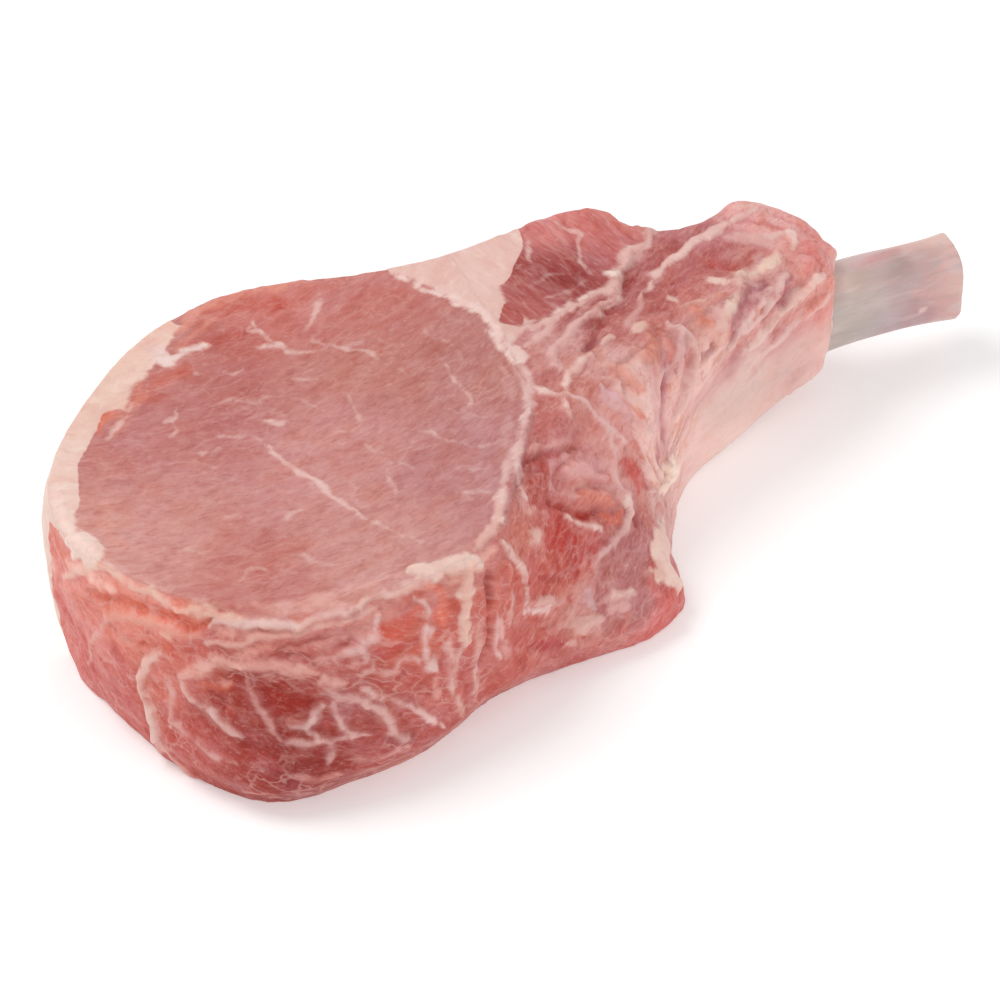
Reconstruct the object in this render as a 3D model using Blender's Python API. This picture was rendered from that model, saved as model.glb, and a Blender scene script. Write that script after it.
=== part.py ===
"""A raw, frenched, bone-in pork rib chop, lying on its cut face.

The chop is one slab of meat, lofted through cross-sections from the fat end (-X) to the rib (+X).
Upright cutters then part it along its natural seams, so that each tissue runs right through:
the eye of loin, the small cap muscle, the rib meat and the fat that wraps and joins them.
The rib bone is swept along its own line, through a channel in the rib meat.

Frame: +Z up, the underside rests on z = 0, +X along the rib, +Y towards the fat cap.
The origin is the centre of the bounding box, at its base. Named sizes are in millimetres.
"""

import math

import bmesh
import bpy
from mathutils import Vector

MM = 0.001  # metres in a millimetre

# Driving sizes
THICKNESS = 38.0  # from the lower cut face to the upper one
SEAM_GAP = 0.3  # clearance between neighbouring tissues
MIDDLE_X = -0.7  # where the tables below put the middle of the chop's length
TOP_EDGE_ROUND = 2.2  # how far the upper cut's edge is rounded over
BASE_EDGE_ROUND = 4.0  # how far the underside tucks in
RIM_ROUNDNESS = 0.7  # how far down a wall a rim's rounding reaches, as a share of its inset
CUTTER_OVERSHOOT = 10.0  # how far a seam's cutter stands past both cut faces
CHANNEL_OVERSHOOT = 20.0  # how far the bone's channel runs on past the sawn tip

# How finely the forms are divided
STEPS_PER_SECTION = 4
ACROSS_TOP = 12
ACROSS_BASE = 8
UP_WALL = 7
STEPS_PER_SEAM_POINT = 4
BONE_SECTION_STEPS = 5
BONE_LENGTH_STEPS = 4

# One row for each cross-section, from the fat end to the rib's exit. Each corner is (x, y, z):
# the upper edge and the foot of the chine side (-Y), then of the fat cap's side (+Y).
# The last two values are how far each side's wall swells between its edge and its foot.
T = THICKNESS
SECTIONS = (
    # chine edge         chine foot          cap edge           cap foot            swell chine, cap
    ((-93.5, 3, T - 2), (-92.5, 2, 0), (-93.5, 3, T - 2), (-92.5, 2, 0), 0.0, 0.0),  # fat end
    ((-93, -4, T - 1), (-91.5, -7, 0), (-92, 12, T), (-92, 10, 0), 0.5, 1.5),
    ((-89, -13, T), (-89, -19, 0), (-85, 23, T), (-86, 23, 0), 0.5, 2.0),
    ((-81, -25, T), (-84.5, -33, 0), (-74, 33.5, T), (-76, 34, 0), 1.0, 2.0),
    ((-69, -34, T), (-75, -45.5, 0), (-61, 42, T), (-62, 43, 0), 2.0, 2.0),
    ((-56, -38, T), (-60, -47.5, 0), (-45, 46, T), (-46, 46.5, 0), 3.0, 1.5),  # widest across the eye
    ((-42, -38, T), (-45, -46.5, 0), (-29, 43.5, T), (-30, 44.5, 0), 3.0, 1.5),
    ((-28, -36, T), (-30, -40.5, 0), (-13, 39.5, T), (-14, 40, 0), 2.0, 1.5),  # eye meets rib meat
    ((-18, -28, T), (-14, -39, 0), (0, 38, T), (-1, 38.5, 0), 1.0, 1.5),  # fat wedge
    ((-7, -16, T), (3, -40, 0), (13, 38, T + 1), (12, 38, 0), 0.5, 1.5),  # sawn chine face
    ((4, -9, T), (13.5, -34, 0), (26, 37.5, T + 1.5), (26, 37, 0), 0.0, 1.5),  # cap muscle
    ((13.5, -8, T), (16.3, -22, 0), (35.5, 28, T), (35.5, 29, 0), -1.0, 1.0),  # notch past the chine
    ((27, -4.5, T), (25, -8, 0), (45, 25.5, T), (45, 26, 0), 0.0, 1.0),
    ((42, -0.5, T - 1), (41, -1, 1), (54, 27, T + 1), (54, 25.5, 1), 1.0, 0.5),
    ((54, 3, T - 3), (53, 3, 3), (61.5, 25, T - 2), (61.5, 23, 3), 1.5, 0.5),
    ((62, 4, T - 6), (61.5, 4, 5), (66.5, 20, T - 5), (66, 19, 5), 1.0, 0.5),
    ((66.5, 11, T - 8), (66.5, 11, 6), (66.5, 11, T - 8), (66.5, 11, 6), 0.0, 0.0),  # rib's collar
)

# Seams in plan. Each outline is closed, and runs outside the chop where its muscle reaches the surface.
EYE_OUTLINE = (
    (-27, -60), (-27, -38), (-22, -28), (-15, -19), (-9, -10), (-6, 0), (-5, 9), (-5.5, 18), (-8, 28),
    (-13, 35.5), (-21, 39), (-33, 41), (-45, 42.5), (-55, 39), (-65, 31), (-74, 22), (-81, 13),
    (-86, 5), (-88.5, -3), (-92, -10), (-104, -16), (-104, -60),
)
CAP_OUTLINE = (
    (14, 40), (8, 33), (3, 25), (1.5, 17.5), (4, 13.5), (10, 13), (19, 15.5), (27, 20), (33, 26),
    (40, 50), (16, 54),
)
RIB_MEAT_OUTLINE = (
    (-24, -60), (-24, -38), (-19, -28), (-12, -19), (-5.5, -10), (-2.5, 0), (-1, 8), (3, 11), (10, 11),
    (20, 13.5), (28.5, 18.5), (35, 25), (43, 50), (90, 50), (90, -60),
)

# The rib's centre line, from its sawn tip, inside the rib meat, to the sawn chine face: (x, y, z),
# then its height and its width there.
BONE_LINE = (
    ((91.8, 9.2, 17.6), 17.6, 12.6),
    ((86, 9.8, 17.9), 16.8, 12.0),
    ((76, 10.6, 18.3), 16.6, 11.8),
    ((64, 11, 18.3), 16.5, 12.0),
    ((49, 10, 17.5), 16.0, 12.0),
    ((34, 7.5, 17), 15.5, 11.5),
    ((20, 1, 16), 15.0, 11.0),
    ((9.5, -9, 14.5), 14.0, 10.5),
    ((4, -21, 13.5), 14.5, 11.0),
    ((0, -32, 13), 15.5, 12.0),
    ((-3, -46, 13), 16.0, 12.0),
)
CHINE_BLOCK = ((-30, -70, -10), (22, 5, 50))  # opposite corners of a block beyond the sawn chine face
BONE_CORNER = 0.42  # the radius that rounds the rib's section, as a share of its width

MATERIALS = {
    # name: colour, roughness
    "loin_meat": ((0.60, 0.25, 0.22), 0.42),
    "dark_meat": ((0.46, 0.12, 0.11), 0.42),
    "rib_meat": ((0.58, 0.22, 0.19), 0.42),
    "pork_fat": ((0.86, 0.66, 0.56), 0.38),
    "rib_bone": ((0.62, 0.50, 0.47), 0.45),
}


def clear_scene():
    for obj in list(bpy.data.objects):
        bpy.data.objects.remove(obj, do_unlink=True)


def material(name):
    colour, roughness = MATERIALS[name]
    made = bpy.data.materials.new(name)
    made.use_nodes = True
    shader = made.node_tree.nodes["Principled BSDF"]
    shader.inputs["Base Color"].default_value = (*colour, 1.0)
    shader.inputs["Roughness"].default_value = roughness
    shader.inputs["Metallic"].default_value = 0.0
    return made


def catmull_rom(before, start, end, after, share):
    """The point at this share of the way from start to end, on the smooth curve through all four."""
    square, cube = share * share, share**3
    return 0.5 * (
        2 * start
        + (end - before) * share
        + (2 * before - 5 * start + 4 * end - after) * square
        + (3 * start - before - 3 * end + after) * cube
    )


def open_curve(points, steps):
    """A smooth curve through the points, with this many steps between neighbours."""
    points = [Vector(p) for p in points]
    padded = [2 * points[0] - points[1], *points, 2 * points[-1] - points[-2]]
    curve = [
        catmull_rom(*padded[i : i + 4], step / steps)
        for i in range(len(points) - 1)
        for step in range(steps)
    ]
    return [*curve, points[-1]]


def closed_curve(points, steps):
    points = [Vector(p) for p in points]
    count = len(points)
    return [
        catmull_rom(*(points[(i + k) % count] for k in (-1, 0, 1, 2)), step / steps)
        for i in range(count)
        for step in range(steps)
    ]


def sideways(curve, i):
    """The unit normal of a curve in plan, to the right of its direction."""
    along = curve[min(i + 1, len(curve) - 1)] - curve[max(i - 1, 0)]
    along = Vector((along.x, along.y, 0)).normalized()
    return Vector((along.y, -along.x, 0))


def wall(edge, foot, outward, swell):
    """Points down a wall, from just under its upper edge to its foot, swelling outward between them."""
    points = []
    for step in range(1, UP_WALL + 1):
        down = step / (UP_WALL + 1)
        point = edge.lerp(foot, down)
        points.append(point + outward * swell * math.sin(math.pi * down))
    return points


def across(start, end, steps, inset):
    """Points across a cut face, from a margin inside one rim to a margin inside the other."""
    span = end - start
    margin = min(inset / max(span.length, inset), 0.4)
    points = []
    for step in range(steps + 1):
        share = margin + (1 - 2 * margin) * step / steps
        points.append(start + span * share)
    return points


def slab_ring(corners, swells, outwards):
    """One closed cross-section: over the top from the cap side, down the chine side, and back under."""
    chine_edge, chine_foot, cap_edge, cap_foot = corners
    chine_out, cap_out = outwards
    rim_drop = Vector((0, 0, -TOP_EDGE_ROUND * RIM_ROUNDNESS))
    foot_lift = Vector((0, 0, BASE_EDGE_ROUND * RIM_ROUNDNESS))
    top = across(cap_edge, chine_edge, ACROSS_TOP, TOP_EDGE_ROUND)
    base = across(chine_foot, cap_foot, ACROSS_BASE, BASE_EDGE_ROUND)
    chine_wall = wall(chine_edge + rim_drop, chine_foot + foot_lift, chine_out, swells[0])
    cap_wall = wall(cap_edge + rim_drop, cap_foot + foot_lift, cap_out, swells[1])
    ring = [*top, *chine_wall, *base, *reversed(cap_wall)]
    return [Vector((p.x, p.y, max(p.z, 0.0))) for p in ring]


def slab_rings():
    columns = list(zip(*SECTIONS))
    curves = [open_curve(column, STEPS_PER_SECTION) for column in columns[:4]]
    swells = [
        [v.x for v in open_curve([(value, 0, 0) for value in column], STEPS_PER_SECTION)]
        for column in columns[4:]
    ]
    rings = []
    for i in range(len(curves[0])):
        outwards = (sideways(curves[1], i), -sideways(curves[3], i))
        rings.append(slab_ring([c[i] for c in curves], [s[i] for s in swells], outwards))
    return rings


def in_frame(point):
    """A point of the tables, in metres, with the chop's middle at the origin."""
    return (point - Vector((MIDDLE_X, 0, 0))) * MM


def loft(name, rings, cap_ends):
    """A closed mesh object bridged through rings of equal counts, given in millimetres."""
    bm = bmesh.new()
    loops = [[bm.verts.new(in_frame(p)) for p in ring] for ring in rings]
    count = len(loops[0])
    for near, far in zip(loops, loops[1:]):
        for k in range(count):
            bm.faces.new((near[k], near[(k + 1) % count], far[(k + 1) % count], far[k]))
    if cap_ends:
        bm.faces.new(loops[0])
        bm.faces.new(loops[-1])
    bmesh.ops.remove_doubles(bm, verts=bm.verts, dist=0.01 * MM)
    bmesh.ops.recalc_face_normals(bm, faces=bm.faces)
    return mesh_object(name, bm)


def mesh_object(name, bm):
    mesh = bpy.data.meshes.new(name)
    bm.to_mesh(mesh)
    bm.free()
    obj = bpy.data.objects.new(name, mesh)
    bpy.context.scene.collection.objects.link(obj)
    return obj


def helper(obj):
    """Marks an object as a cutter or a guide, which isn't a part of the chop."""
    obj.hide_render = True
    obj.display_type = "WIRE"
    return obj


def grown(outline, margin):
    """A closed outline moved outward all round."""
    count = len(outline)
    area = sum(a.x * b.y - b.x * a.y for a, b in zip(outline, outline[1:] + outline[:1]))
    side = math.copysign(1, area)
    moved = []
    for i, point in enumerate(outline):
        along = (outline[(i + 1) % count] - outline[i - 1]).normalized()
        moved.append(point + side * margin * Vector((along.y, -along.x, 0)))
    return moved


def seam_cutter(name, outline, margin):
    """An upright prism over a seam's outline, taller than the chop."""
    curve = closed_curve([(x, y, 0) for x, y in outline], STEPS_PER_SEAM_POINT)
    curve = grown(curve, margin)
    low = Vector((0, 0, -CUTTER_OVERSHOOT))
    high = Vector((0, 0, THICKNESS + CUTTER_OVERSHOOT))
    return helper(loft(name, [[p + low for p in curve], [p + high for p in curve]], True))


def boolean(obj, cutter, operation):
    modifier = obj.modifiers.new(cutter.name, "BOOLEAN")
    modifier.operation = operation
    modifier.object = cutter
    modifier.solver = "EXACT"


def rounded_section(height, width, corner):
    """A rounded rectangle as (across, up) pairs, running round once."""
    points = []
    for side_x, side_z, start in ((1, 1, 0), (-1, 1, 90), (-1, -1, 180), (1, -1, 270)):
        for step in range(BONE_SECTION_STEPS + 1):
            angle = math.radians(start + 90 * step / BONE_SECTION_STEPS)
            points.append(
                (
                    side_x * (width / 2 - corner) + corner * math.cos(angle),
                    side_z * (height / 2 - corner) + corner * math.sin(angle),
                )
            )
    return points


def rib_bone_form(name, margin, tip_extra):
    """The whole rib, swept along its centre line, with its surface moved out by the margin."""
    line = open_curve([place for place, height, width in BONE_LINE], BONE_LENGTH_STEPS)
    sizes = open_curve([(height, width, 0) for place, height, width in BONE_LINE], BONE_LENGTH_STEPS)
    line[0] = line[0] + (line[0] - line[1]).normalized() * tip_extra
    rings = []
    for i, (centre, size) in enumerate(zip(line, sizes)):
        side = sideways(line, i)
        section = rounded_section(
            size.x + 2 * margin, size.y + 2 * margin, BONE_CORNER * size.y + margin
        )
        rings.append([centre + side * a + Vector((0, 0, b)) for a, b in section])
    return loft(name, rings, True)


def chine_waste(slab):
    """Everything beyond the sawn chine face: a block with the chop taken out of it."""
    low, high = (Vector(corner) for corner in CHINE_BLOCK)
    middle, size = (low + high) / 2, high - low
    bm = bmesh.new()
    bmesh.ops.create_cube(bm, size=1.0)
    bmesh.ops.scale(bm, vec=size * MM, verts=bm.verts)
    bmesh.ops.translate(bm, vec=in_frame(middle), verts=bm.verts)
    waste = helper(mesh_object("chine_waste", bm))
    boolean(waste, slab, "DIFFERENCE")
    return waste


def finish_piece(obj, material_name):
    obj.data.materials.append(material(material_name))
    obj.data.shade_smooth()
    obj.data.set_sharp_from_angle(angle=math.radians(35))


def tissue(name, slab, material_name, cuts):
    """A copy of the chop's slab, cut down to one tissue."""
    obj = bpy.data.objects.new(name, slab.data.copy())
    bpy.context.scene.collection.objects.link(obj)
    for cutter, operation in cuts:
        boolean(obj, cutter, operation)
    finish_piece(obj, material_name)


def build():
    clear_scene()
    slab = helper(loft("chop_slab", slab_rings(), False))
    bone_channel = helper(rib_bone_form("bone_channel", SEAM_GAP, CHANNEL_OVERSHOOT))
    outlines = {"eye": EYE_OUTLINE, "cap": CAP_OUTLINE, "rib": RIB_MEAT_OUTLINE}
    muscles = {key: seam_cutter(key + "_seam", line, 0) for key, line in outlines.items()}
    spaces = [seam_cutter(key + "_space", line, SEAM_GAP) for key, line in outlines.items()]

    tissue("loin_eye", slab, "loin_meat", [(muscles["eye"], "INTERSECT")])
    tissue("cap_muscle", slab, "dark_meat", [(muscles["cap"], "INTERSECT")])
    rib_cuts = [(muscles["rib"], "INTERSECT"), (bone_channel, "DIFFERENCE")]
    tissue("rib_meat", slab, "rib_meat", rib_cuts)
    tissue("seam_fat", slab, "pork_fat", [(space, "DIFFERENCE") for space in spaces])

    rib_bone = rib_bone_form("rib_bone", 0.0, 0.0)
    boolean(rib_bone, chine_waste(slab), "DIFFERENCE")
    finish_piece(rib_bone, "rib_bone")


build()
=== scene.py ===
import math

import bpy
import numpy as np
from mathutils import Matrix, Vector
from mathutils.bvhtree import BVHTree


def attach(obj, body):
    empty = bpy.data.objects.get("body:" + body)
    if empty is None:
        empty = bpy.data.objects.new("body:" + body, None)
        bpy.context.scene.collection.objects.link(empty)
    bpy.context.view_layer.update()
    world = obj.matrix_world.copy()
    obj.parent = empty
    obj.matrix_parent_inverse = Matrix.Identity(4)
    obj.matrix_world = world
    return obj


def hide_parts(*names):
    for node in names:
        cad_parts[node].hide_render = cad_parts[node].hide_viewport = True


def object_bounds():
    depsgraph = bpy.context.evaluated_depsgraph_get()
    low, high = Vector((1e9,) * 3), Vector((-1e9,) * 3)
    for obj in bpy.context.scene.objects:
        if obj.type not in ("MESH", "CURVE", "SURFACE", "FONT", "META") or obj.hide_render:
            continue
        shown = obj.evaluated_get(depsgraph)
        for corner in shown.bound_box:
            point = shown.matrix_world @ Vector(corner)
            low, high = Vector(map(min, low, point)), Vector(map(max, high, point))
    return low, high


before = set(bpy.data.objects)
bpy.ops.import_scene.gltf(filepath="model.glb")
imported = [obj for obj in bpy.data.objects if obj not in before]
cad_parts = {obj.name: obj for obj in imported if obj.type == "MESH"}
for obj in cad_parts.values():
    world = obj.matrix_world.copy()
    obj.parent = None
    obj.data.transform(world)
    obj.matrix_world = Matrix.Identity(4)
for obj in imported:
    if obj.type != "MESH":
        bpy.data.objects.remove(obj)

# Raw bone-in pork rib chop: one cut of wet lean, fat and membrane, and the scraped rib.
# Lengths are in millimetres up to the point where a mesh is written, which is in metres.
MM = 0.001
CAD_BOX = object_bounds()

SKIN_VOXEL = 0.52         # grain of the flesh surface on the sides that are sculpted
BONE_VOXEL = 0.42
SWELL = 0.26              # closes the 0.3 mm seams between the solids
CHANNEL_FROM = 58.0       # the rib stands free in the meat from here outward
BACK_SHARE = 0.26         # share of faces kept on the base and the back
LEAST_SWELL = 1.0         # half the width of the narrowest form that is modelled
RELIEF = 1.45             # how far the laid-on forms stand up against their first sketch
SIDE_LIFT = 0.12          # the sides get less light than the top; their tones are this much lighter
SHEEN = 0.022             # the part of the light that the wet film sends back over every tone


# ---------------------------------------------------------------- small tools

def linear(hex_colour):
    """An sRGB hex colour as linear red, green and blue."""
    out = []
    for k in (0, 2, 4):
        c = int(hex_colour[k:k + 2], 16) / 255
        out.append(c / 12.92 if c <= 0.04045 else ((c + 0.055) / 1.055) ** 2.4)
    return np.array(out)


def paint(hex_colour):
    """The tone that a wet surface has to be painted to look like this: the moisture on it adds a little white."""
    return np.maximum((linear(hex_colour) - SHEEN) / (1 - SHEEN), 0.004)


def pick(*objects):
    """Selects these objects alone and makes the first the active one."""
    bpy.ops.object.select_all(action="DESELECT")
    for o in objects:
        o.select_set(True)
    bpy.context.view_layer.objects.active = objects[0]


def copied(node, name):
    """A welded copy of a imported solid, as a new object at the origin."""
    piece = bpy.data.objects.new(name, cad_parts[node].data.copy())
    bpy.context.scene.collection.objects.link(piece)
    pick(piece)
    bpy.ops.object.mode_set(mode="EDIT")
    bpy.ops.mesh.select_all(action="SELECT")
    bpy.ops.mesh.remove_doubles(threshold=0.00001)
    bpy.ops.object.mode_set(mode="OBJECT")
    return piece


def edit_all(piece, operator, **settings):
    """Runs one edit-mode operator on the whole mesh."""
    pick(piece)
    bpy.ops.object.mode_set(mode="EDIT")
    bpy.ops.mesh.select_all(action="SELECT")
    operator(**settings)
    bpy.ops.object.mode_set(mode="OBJECT")


def finish(piece, kind, **settings):
    """Adds a modifier and applies it."""
    pick(piece)
    modifier = piece.modifiers.new(kind.lower(), kind)
    for key, value in settings.items():
        setattr(modifier, key, value)
    bpy.ops.object.modifier_apply(modifier=modifier.name)


def cut_off(piece, x, keep_outer):
    """Cuts the piece across at x and closes the cut; keeps one side."""
    edit_all(piece, bpy.ops.mesh.bisect, plane_co=(x * MM, 0, 0), plane_no=(1, 0, 0), use_fill=True,
             clear_inner=keep_outer, clear_outer=not keep_outer)


def read_points(piece):
    co = np.empty(len(piece.data.vertices) * 3)
    piece.data.vertices.foreach_get("co", co)
    return co.reshape(-1, 3) / MM


def read_normals(piece):
    no = np.empty(len(piece.data.vertices) * 3)
    piece.data.vertices.foreach_get("normal", no)
    return no.reshape(-1, 3)


def write_points(piece, points):
    piece.data.vertices.foreach_set("co", (points * MM).ravel())
    piece.data.update()


def store(piece, name, values, kind="FLOAT"):
    """Keeps a value, a vector or a colour at each vertex for the material to read."""
    layer = piece.data.attributes.new(name, kind, "POINT")
    if kind == "FLOAT":
        layer.data.foreach_set("value", values)
    elif kind == "FLOAT_VECTOR":
        layer.data.foreach_set("vector", values.ravel())
    else:
        rgba = np.ones((len(values), 4))
        rgba[:, :3] = values
        layer.data.foreach_set("color", rgba.ravel())


def step(low, high, value):
    """0 below low, 1 above high, smooth between; low may be the larger."""
    t = np.clip((value - low) / (high - low), 0, 1)
    return t * t * (3 - 2 * t)


def cloud(points, cell, seed):
    """Smooth seeded noise from -1 to 1; cell is the size of one blob in mm."""
    q = points / np.asarray(cell, float) + seed * 17.31
    base = np.floor(q).astype(np.int64)
    f = q - base
    f = f * f * (3 - 2 * f)
    total = np.zeros(len(points))
    for dx in (0, 1):
        for dy in (0, 1):
            for dz in (0, 1):
                h = (base[:, 0] + dx) * 73856093 ^ (base[:, 1] + dy) * 19349663 ^ (base[:, 2] + dz) * 83492791
                h = (h ^ seed * 2654435761) & 0xFFFFFFFF
                h = ((h ^ (h >> 13)) * 1540483477) & 0xFFFFFFFF
                h = ((h ^ (h >> 15)) * 668265263) & 0xFFFFFFFF
                h = h ^ (h >> 14)
                wx = f[:, 0] if dx else 1 - f[:, 0]
                wy = f[:, 1] if dy else 1 - f[:, 1]
                wz = f[:, 2] if dz else 1 - f[:, 2]
                total += wx * wy * wz * (h / 2147483648.0 - 1)
    return total


def shift_cloud(points, cell, seed):
    """Three clouds as a vector, to bend a pattern with."""
    return np.stack([cloud(points, cell, seed + k) for k in range(3)], 1)


def smooth_run(points, spacing=0.4):
    """A Catmull-Rom run through a few points."""
    p = np.array(points, float)
    if len(p) < 2:
        return p
    p = np.vstack([2 * p[0] - p[1], p, 2 * p[-1] - p[-2]])
    out = []
    for a, b, c, d in zip(p[:-3], p[1:-2], p[2:-1], p[3:]):
        n = max(2, int(np.linalg.norm(c - b) / spacing))
        t = (np.arange(n) / n)[:, None]
        out.append(0.5 * (2 * b + (c - a) * t + (2 * a - 5 * b + 4 * c - d) * t ** 2
                          + (3 * b - a - 3 * c + d) * t ** 3))
    return np.vstack(out + [p[-2:-1]])


# ---------------------------------------------------------------- the flesh form

# the crest of the rib meat, where its top turns over into the inner side: a wide soft roll
CREST = [(64, 10, 34), (58, 6, 36.5), (50, 4.5, 37.5), (42, 1.5, 38), (34, -1, 38), (26, -2, 38), (17, -3, 38),
         (9, -5, 38), (2, -9, 38), (-3, -14, 37), (-9, -19, 37), (-16, -25, 37)]
CREST_ROUNDS = 110


def flesh_form():
    """Lean, cap, rib meat and fat as one closed wet surface, with a blind channel for the rib."""
    parts = [copied(node, "flesh_" + node) for node in ("loin_eye", "cap_muscle", "rib_meat", "seam_fat")]
    root = copied("rib_bone", "flesh_rib_root")
    cut_off(root, CHANNEL_FROM, keep_outer=False)
    parts.append(root)
    for part in parts:
        edit_all(part, bpy.ops.transform.shrink_fatten, value=SWELL * MM)
    pick(*parts)
    bpy.ops.object.join()
    flesh = bpy.context.view_layer.objects.active
    flesh.name = "flesh"
    flesh.data.name = "flesh"
    flesh.data.materials.clear()
    finish(flesh, "REMESH", mode="VOXEL", voxel_size=SKIN_VOXEL * MM, adaptivity=0.0)
    finish(flesh, "SMOOTH", factor=0.5, iterations=14)
    normals = read_normals(flesh)
    points = read_points(flesh)
    away = (normals[:, 2] < -0.55) | ((normals[:, 1] > 0.45) & (normals[:, 2] < 0.5)) | (points[:, 2] < 1.2)
    group = flesh.vertex_groups.new(name="away")
    group.add([int(i) for i in np.nonzero(away)[0]], 1.0, "REPLACE")
    share = 1 - away.mean() * (1 - BACK_SHARE)
    finish(flesh, "DECIMATE", ratio=float(share), vertex_group="away", use_collapse_triangulate=True)
    flesh.vertex_groups.clear()
    gap = to_run(read_points(flesh), CREST)
    roll = flesh.vertex_groups.new(name="roll")
    for share in (0.25, 0.5, 0.75, 1.0):
        inner = step(9.5, 4.5, gap)
        roll.add([int(i) for i in np.nonzero((inner > share - 0.25) & (inner <= share))[0]], share, "REPLACE")
    finish(flesh, "SMOOTH", factor=0.5, iterations=CREST_ROUNDS, vertex_group="roll")
    flesh.vertex_groups.clear()
    return flesh



def to_run(points, run):
    """How far each point is from a run, in mm."""
    line = smooth_run(run, 1.5)
    out = np.full(len(points), 99.0)
    for place in line:
        out = np.minimum(out, np.linalg.norm(points - place, axis=1))
    return out


class Surface:
    """The flesh surface as arrays: places, normals, tones and fields, and the tools that shape them."""

    def __init__(self, piece):
        self.piece = piece
        self.points = read_points(piece)
        self.normals = read_normals(piece)
        self.base = self.points.copy()
        self.base_normals = self.normals.copy()
        mesh = piece.data
        mesh.calc_loop_triangles()
        triangles = [tuple(t.vertices) for t in mesh.loop_triangles]
        self.tree = BVHTree.FromPolygons([Vector(p) for p in self.points], triangles)
        self.bent = self.points + 0.75 * shift_cloud(self.points, 3.4, 11) + 0.42 * shift_cloud(self.points, 1.3, 21)
        self.patchy = cloud(self.points, 2.0, 24)
        self.rise = np.zeros(len(self.points))
        self.drawn = np.zeros((len(self.points), 3))
        self.calm = np.zeros(len(self.points))
        self.lean = np.zeros((len(self.points), 3))
        self.fat_tone = np.zeros((len(self.points), 3))
        self.thread = np.zeros(len(self.points))
        self.thread_strength = np.zeros(len(self.points))
        self.thread_tone = np.zeros((len(self.points), 3)) + paint("e8c4bc")

    def solid(self, node):
        """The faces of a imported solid, in mm, to measure from."""
        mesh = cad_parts[node].data
        mesh.calc_loop_triangles()
        corners = [Vector(v.co) / MM for v in mesh.vertices]
        return BVHTree.FromPolygons(corners, [tuple(t.vertices) for t in mesh.loop_triangles])

    def distance_to(self, node):
        """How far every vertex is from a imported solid, in mm."""
        tree = self.solid(node)
        return np.array([tree.find_nearest(Vector(p))[3] for p in self.base])

    def draw_in(self, node, beyond, reach, share):
        """Draws the lip of flesh round a solid in against it, outward of x = beyond."""
        tree = self.solid(node)
        for i in np.nonzero(self.base[:, 0] > beyond)[0]:
            place, _, _, gap = tree.find_nearest(Vector(self.base[i]))
            if gap < reach:
                self.drawn[i] = (np.array(place) - self.base[i]) * share * float(step(reach, 0.4 * reach, gap))
                self.rise[i] *= float(step(0.2 * reach, reach, gap))

    def snapped(self, run):
        """The run laid on the flesh surface."""
        return np.array([tuple(self.tree.find_nearest(Vector(p))[0]) for p in run])

    def near(self, points, width, taper=0.5, ragged=0.25):
        """Closeness to a run: 1 on it, 0 at its half width, below 0 outside. Also the mm distance."""
        run = self.snapped(smooth_run(points))
        reach = width * 2.2 + 2.0
        low, high = run.min(0) - reach, run.max(0) + reach
        inside = np.nonzero(((self.bent > low) & (self.bent < high)).all(1))[0]
        away = np.full(len(self.base), 99.0)
        along = np.zeros(len(self.base))
        for part in np.array_split(inside, max(1, len(inside) * len(run) // 2000000)):
            if len(part):
                gap = np.linalg.norm(self.bent[part, None, :] - run[None, :, :], axis=2)
                best = gap.argmin(1)
                away[part] = gap[np.arange(len(part)), best]
                along[part] = best / max(1, len(run) - 1)
        half = width * (1 - taper * np.abs(2 * along - 1) ** 3) if len(run) > 1 else np.full(len(away), float(width))
        if ragged:
            spread = max(1.2, width * 0.8)
            touched = away < reach
            half[touched] *= 1 + ragged * cloud(self.base[touched], spread, 5)
        return 1 - away / np.maximum(half, 0.05), away, half

    def lay(self, points, width, tone=None, strength=1.0, rise=0.0, soft=0.8, taper=0.5, ragged=0.25):
        """Lays a strand, fold, hollow or patch along a run: its tone, and how far it stands up in mm."""
        close, away, half = self.near(points, width, taper, ragged)
        narrow = width < 1.3 and tone is not None and linear(tone)[1] > 0.36
        if rise:
            lift = RELIEF * rise * (0.6 if narrow else 1.0)
            self.rise += lift * step(-0.15, 0.85, 1 - away / np.maximum(half, LEAST_SWELL))
        if tone is None:
            return
        colour = paint(tone)
        if narrow:
            # a narrow pale strand is kept as a distance, so that it stays crisp, with a soft halo round it
            uneven = 1 + 0.45 * cloud(self.base, 2.6, 27) + 0.25 * cloud(self.base, 1.1, 28)
            faint = 0.72 + 0.4 * cloud(self.base, 4.0, 29)
            self.keep_thread(away, 0.8 * half * uneven, np.clip(strength * faint, 0, 1), colour)
            weight = 0.3 * step(-2.0, 0.7, close)
        else:
            weight = step(-0.25 if width < 1.3 else 0, soft, close)
        w = (weight * strength * (0.86 + 0.22 * self.patchy))[:, None].clip(0, 1)
        film = 0.8 if linear(tone)[1] > 0.38 else 0.35
        self.calm = np.maximum(self.calm, film * w[:, 0])
        self.lean = self.lean * (1 - w) + colour * w

    def keep_thread(self, away, half, strength, colour):
        """Writes a thread into the distance field that the material cuts crisp lines from."""
        value = np.clip(0.5 + (half - away) / 3.0, 0, 1)
        stronger = value > self.thread
        self.thread = np.maximum(self.thread, value)
        self.thread_strength[stronger] = (strength + np.zeros(len(value)))[stronger]
        self.thread_tone[stronger] = colour

    def thread_along(self, points, half_width=0.35, strength=1.0, rise=0.0, taper=0.6):
        """A fine thread of fat in the lean."""
        away, half = self.near(points, half_width, taper, 0.3)[1:]
        self.keep_thread(away, 0.8 * half, 0.9 * strength, paint("e8c4bc"))
        if rise:
            self.rise += rise * step(half_width * 3 + 0.4, 0, away)

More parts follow.
